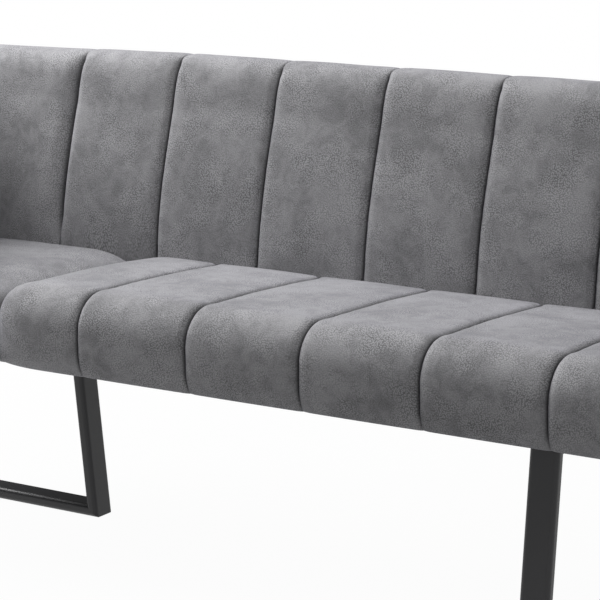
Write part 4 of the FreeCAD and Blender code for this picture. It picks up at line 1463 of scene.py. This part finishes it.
def lit_shader(tree, kind, grey, strength=None):
    node = fed(tree, kind, {"Color": (grey, grey, grey, 1.0)})
    if strength is not None:
        node.inputs["Strength"].default_value = strength
    return node.outputs[0]


def seen_apart(tree, second_ray, unseen, seen, out_kind, share=None):
    """One shader where the camera or a second kind of ray looks, and another for the rest."""
    paths = add(tree, "ShaderNodeLightPath").outputs
    looks = combined(tree, "MAXIMUM", paths["Is Camera Ray"], paths[second_ray])
    if share is not None:
        looks = times(tree, looks, share)
    mix = fed(tree, "ShaderNodeMixShader", {0: looks, 1: unseen, 2: seen})
    tree.links.new(mix.outputs[0], add(tree, out_kind).inputs[0])


def cleared_tree(owner):
    owner.use_nodes = True
    owner.node_tree.nodes.clear()
    return owner.node_tree


def build_world(level):
    world = bpy.data.worlds.new("studio")
    bpy.context.scene.world = world
    tree = cleared_tree(world)
    seen_apart(tree, "Is Transmission Ray", lit_shader(tree, "ShaderNodeBackground", 1.0, level),
               lit_shader(tree, "ShaderNodeBackground", 1.0, 1.0), "ShaderNodeOutputWorld")


def build_floor():
    choose()
    bpy.ops.mesh.primitive_grid_add(x_subdivisions=4, y_subdivisions=4, size=60.0,
                                    location=(0.0, 0.0, 0.0))
    floor = bpy.context.object
    floor.name = "studio_floor"
    material = bpy.data.materials.new("studio_floor")
    tree = cleared_tree(material)
    place = add(tree, "ShaderNodeTexCoord").outputs["Object"]
    distance = fed(tree, "ShaderNodeVectorMath", {0: place}, operation="LENGTH").outputs["Value"]
    seen_apart(tree, "Is Glossy Ray", lit_shader(tree, "ShaderNodeBsdfDiffuse", FLOOR_GREY),
               lit_shader(tree, "ShaderNodeEmission", 1.0, 1.0), "ShaderNodeOutputMaterial",
               ranged(tree, distance, *SHADOW_FADE))
    clear_finish(floor, material)


def add_lamp(name, place, size, power):
    data = bpy.data.lights.new(name, "AREA")
    data.shape = "RECTANGLE"
    data.size, data.size_y = size
    data.energy = power
    lamp = linked(name, data)
    lamp.location = place
    aim = Vector(LAMP_TARGET) - Vector(place)
    lamp.rotation_euler = aim.to_track_quat("-Z", "Y").to_euler()


def add_camera(studio):
    data = bpy.data.cameras.new("camera")
    data.lens = studio.lens
    data.clip_end = 100.0
    camera = linked("camera", data)
    camera.location = studio.eye
    camera.rotation_euler = (math.pi / 2 - studio.pitch, 0.0, studio.yaw)
    bpy.context.scene.camera = camera


class BENCH_OT_stage(bpy.types.Operator):
    """Set up the pale floor, the soft lamps and the camera"""
    bl_idname = "bench.stage"
    bl_label = "Stage"

    def execute(self, context):
        studio = context.scene.bench_studio
        context.scene.view_settings.view_transform = "Standard"
        build_world(studio.world_level)
        build_floor()
        add_lamp("key", (-2.75, -0.05, 2.6), (1.8, 1.8), studio.key_power)
        add_lamp("top", (0.4, -0.15, 3.6), (2.6, 1.6), studio.top_power)
        add_lamp("fill", (3.2, -4.2, 2.0), (2.0, 2.0), studio.fill_power)
        add_camera(studio)
        return {"FINISHED"}


class BENCH_PT_panel(bpy.types.Panel):
    """Lists the pieces of the bench"""
    bl_label = "Corner bench"
    bl_idname = "BENCH_PT_panel"
    bl_space_type = "VIEW_3D"
    bl_region_type = "UI"
    bl_category = "Corner bench"

    def draw(self, context):
        for operator in OPERATORS:
            self.layout.operator(operator.bl_idname)


OPERATORS = (BENCH_OT_seats, BENCH_OT_backs, BENCH_OT_rear_panels, BENCH_OT_under_cloths,
             BENCH_OT_fasteners, BENCH_OT_frame, BENCH_OT_stage)
CLASSES = (CushionSizes, Finishes, StudioSettings, *OPERATORS, BENCH_PT_panel)


def register():
    for cls in CLASSES:
        bpy.utils.register_class(cls)
    bpy.types.Scene.bench_cushions = bpy.props.PointerProperty(type=CushionSizes)
    bpy.types.Scene.bench_finishes = bpy.props.PointerProperty(type=Finishes)
    bpy.types.Scene.bench_studio = bpy.props.PointerProperty(type=StudioSettings)


def unregister():
    del bpy.types.Scene.bench_studio
    del bpy.types.Scene.bench_finishes
    del bpy.types.Scene.bench_cushions
    for cls in reversed(CLASSES):
        bpy.utils.unregister_class(cls)


def main():
    register()
    build_materials(bpy.context.scene.bench_finishes)
    bpy.ops.bench.seats()
    bpy.ops.bench.backs()
    bpy.ops.bench.rear_panels()
    bpy.ops.bench.under_cloths()
    bpy.ops.bench.fasteners()
    bpy.ops.bench.frame()
    bpy.ops.bench.stage()


if __name__ == "__main__":
    main()
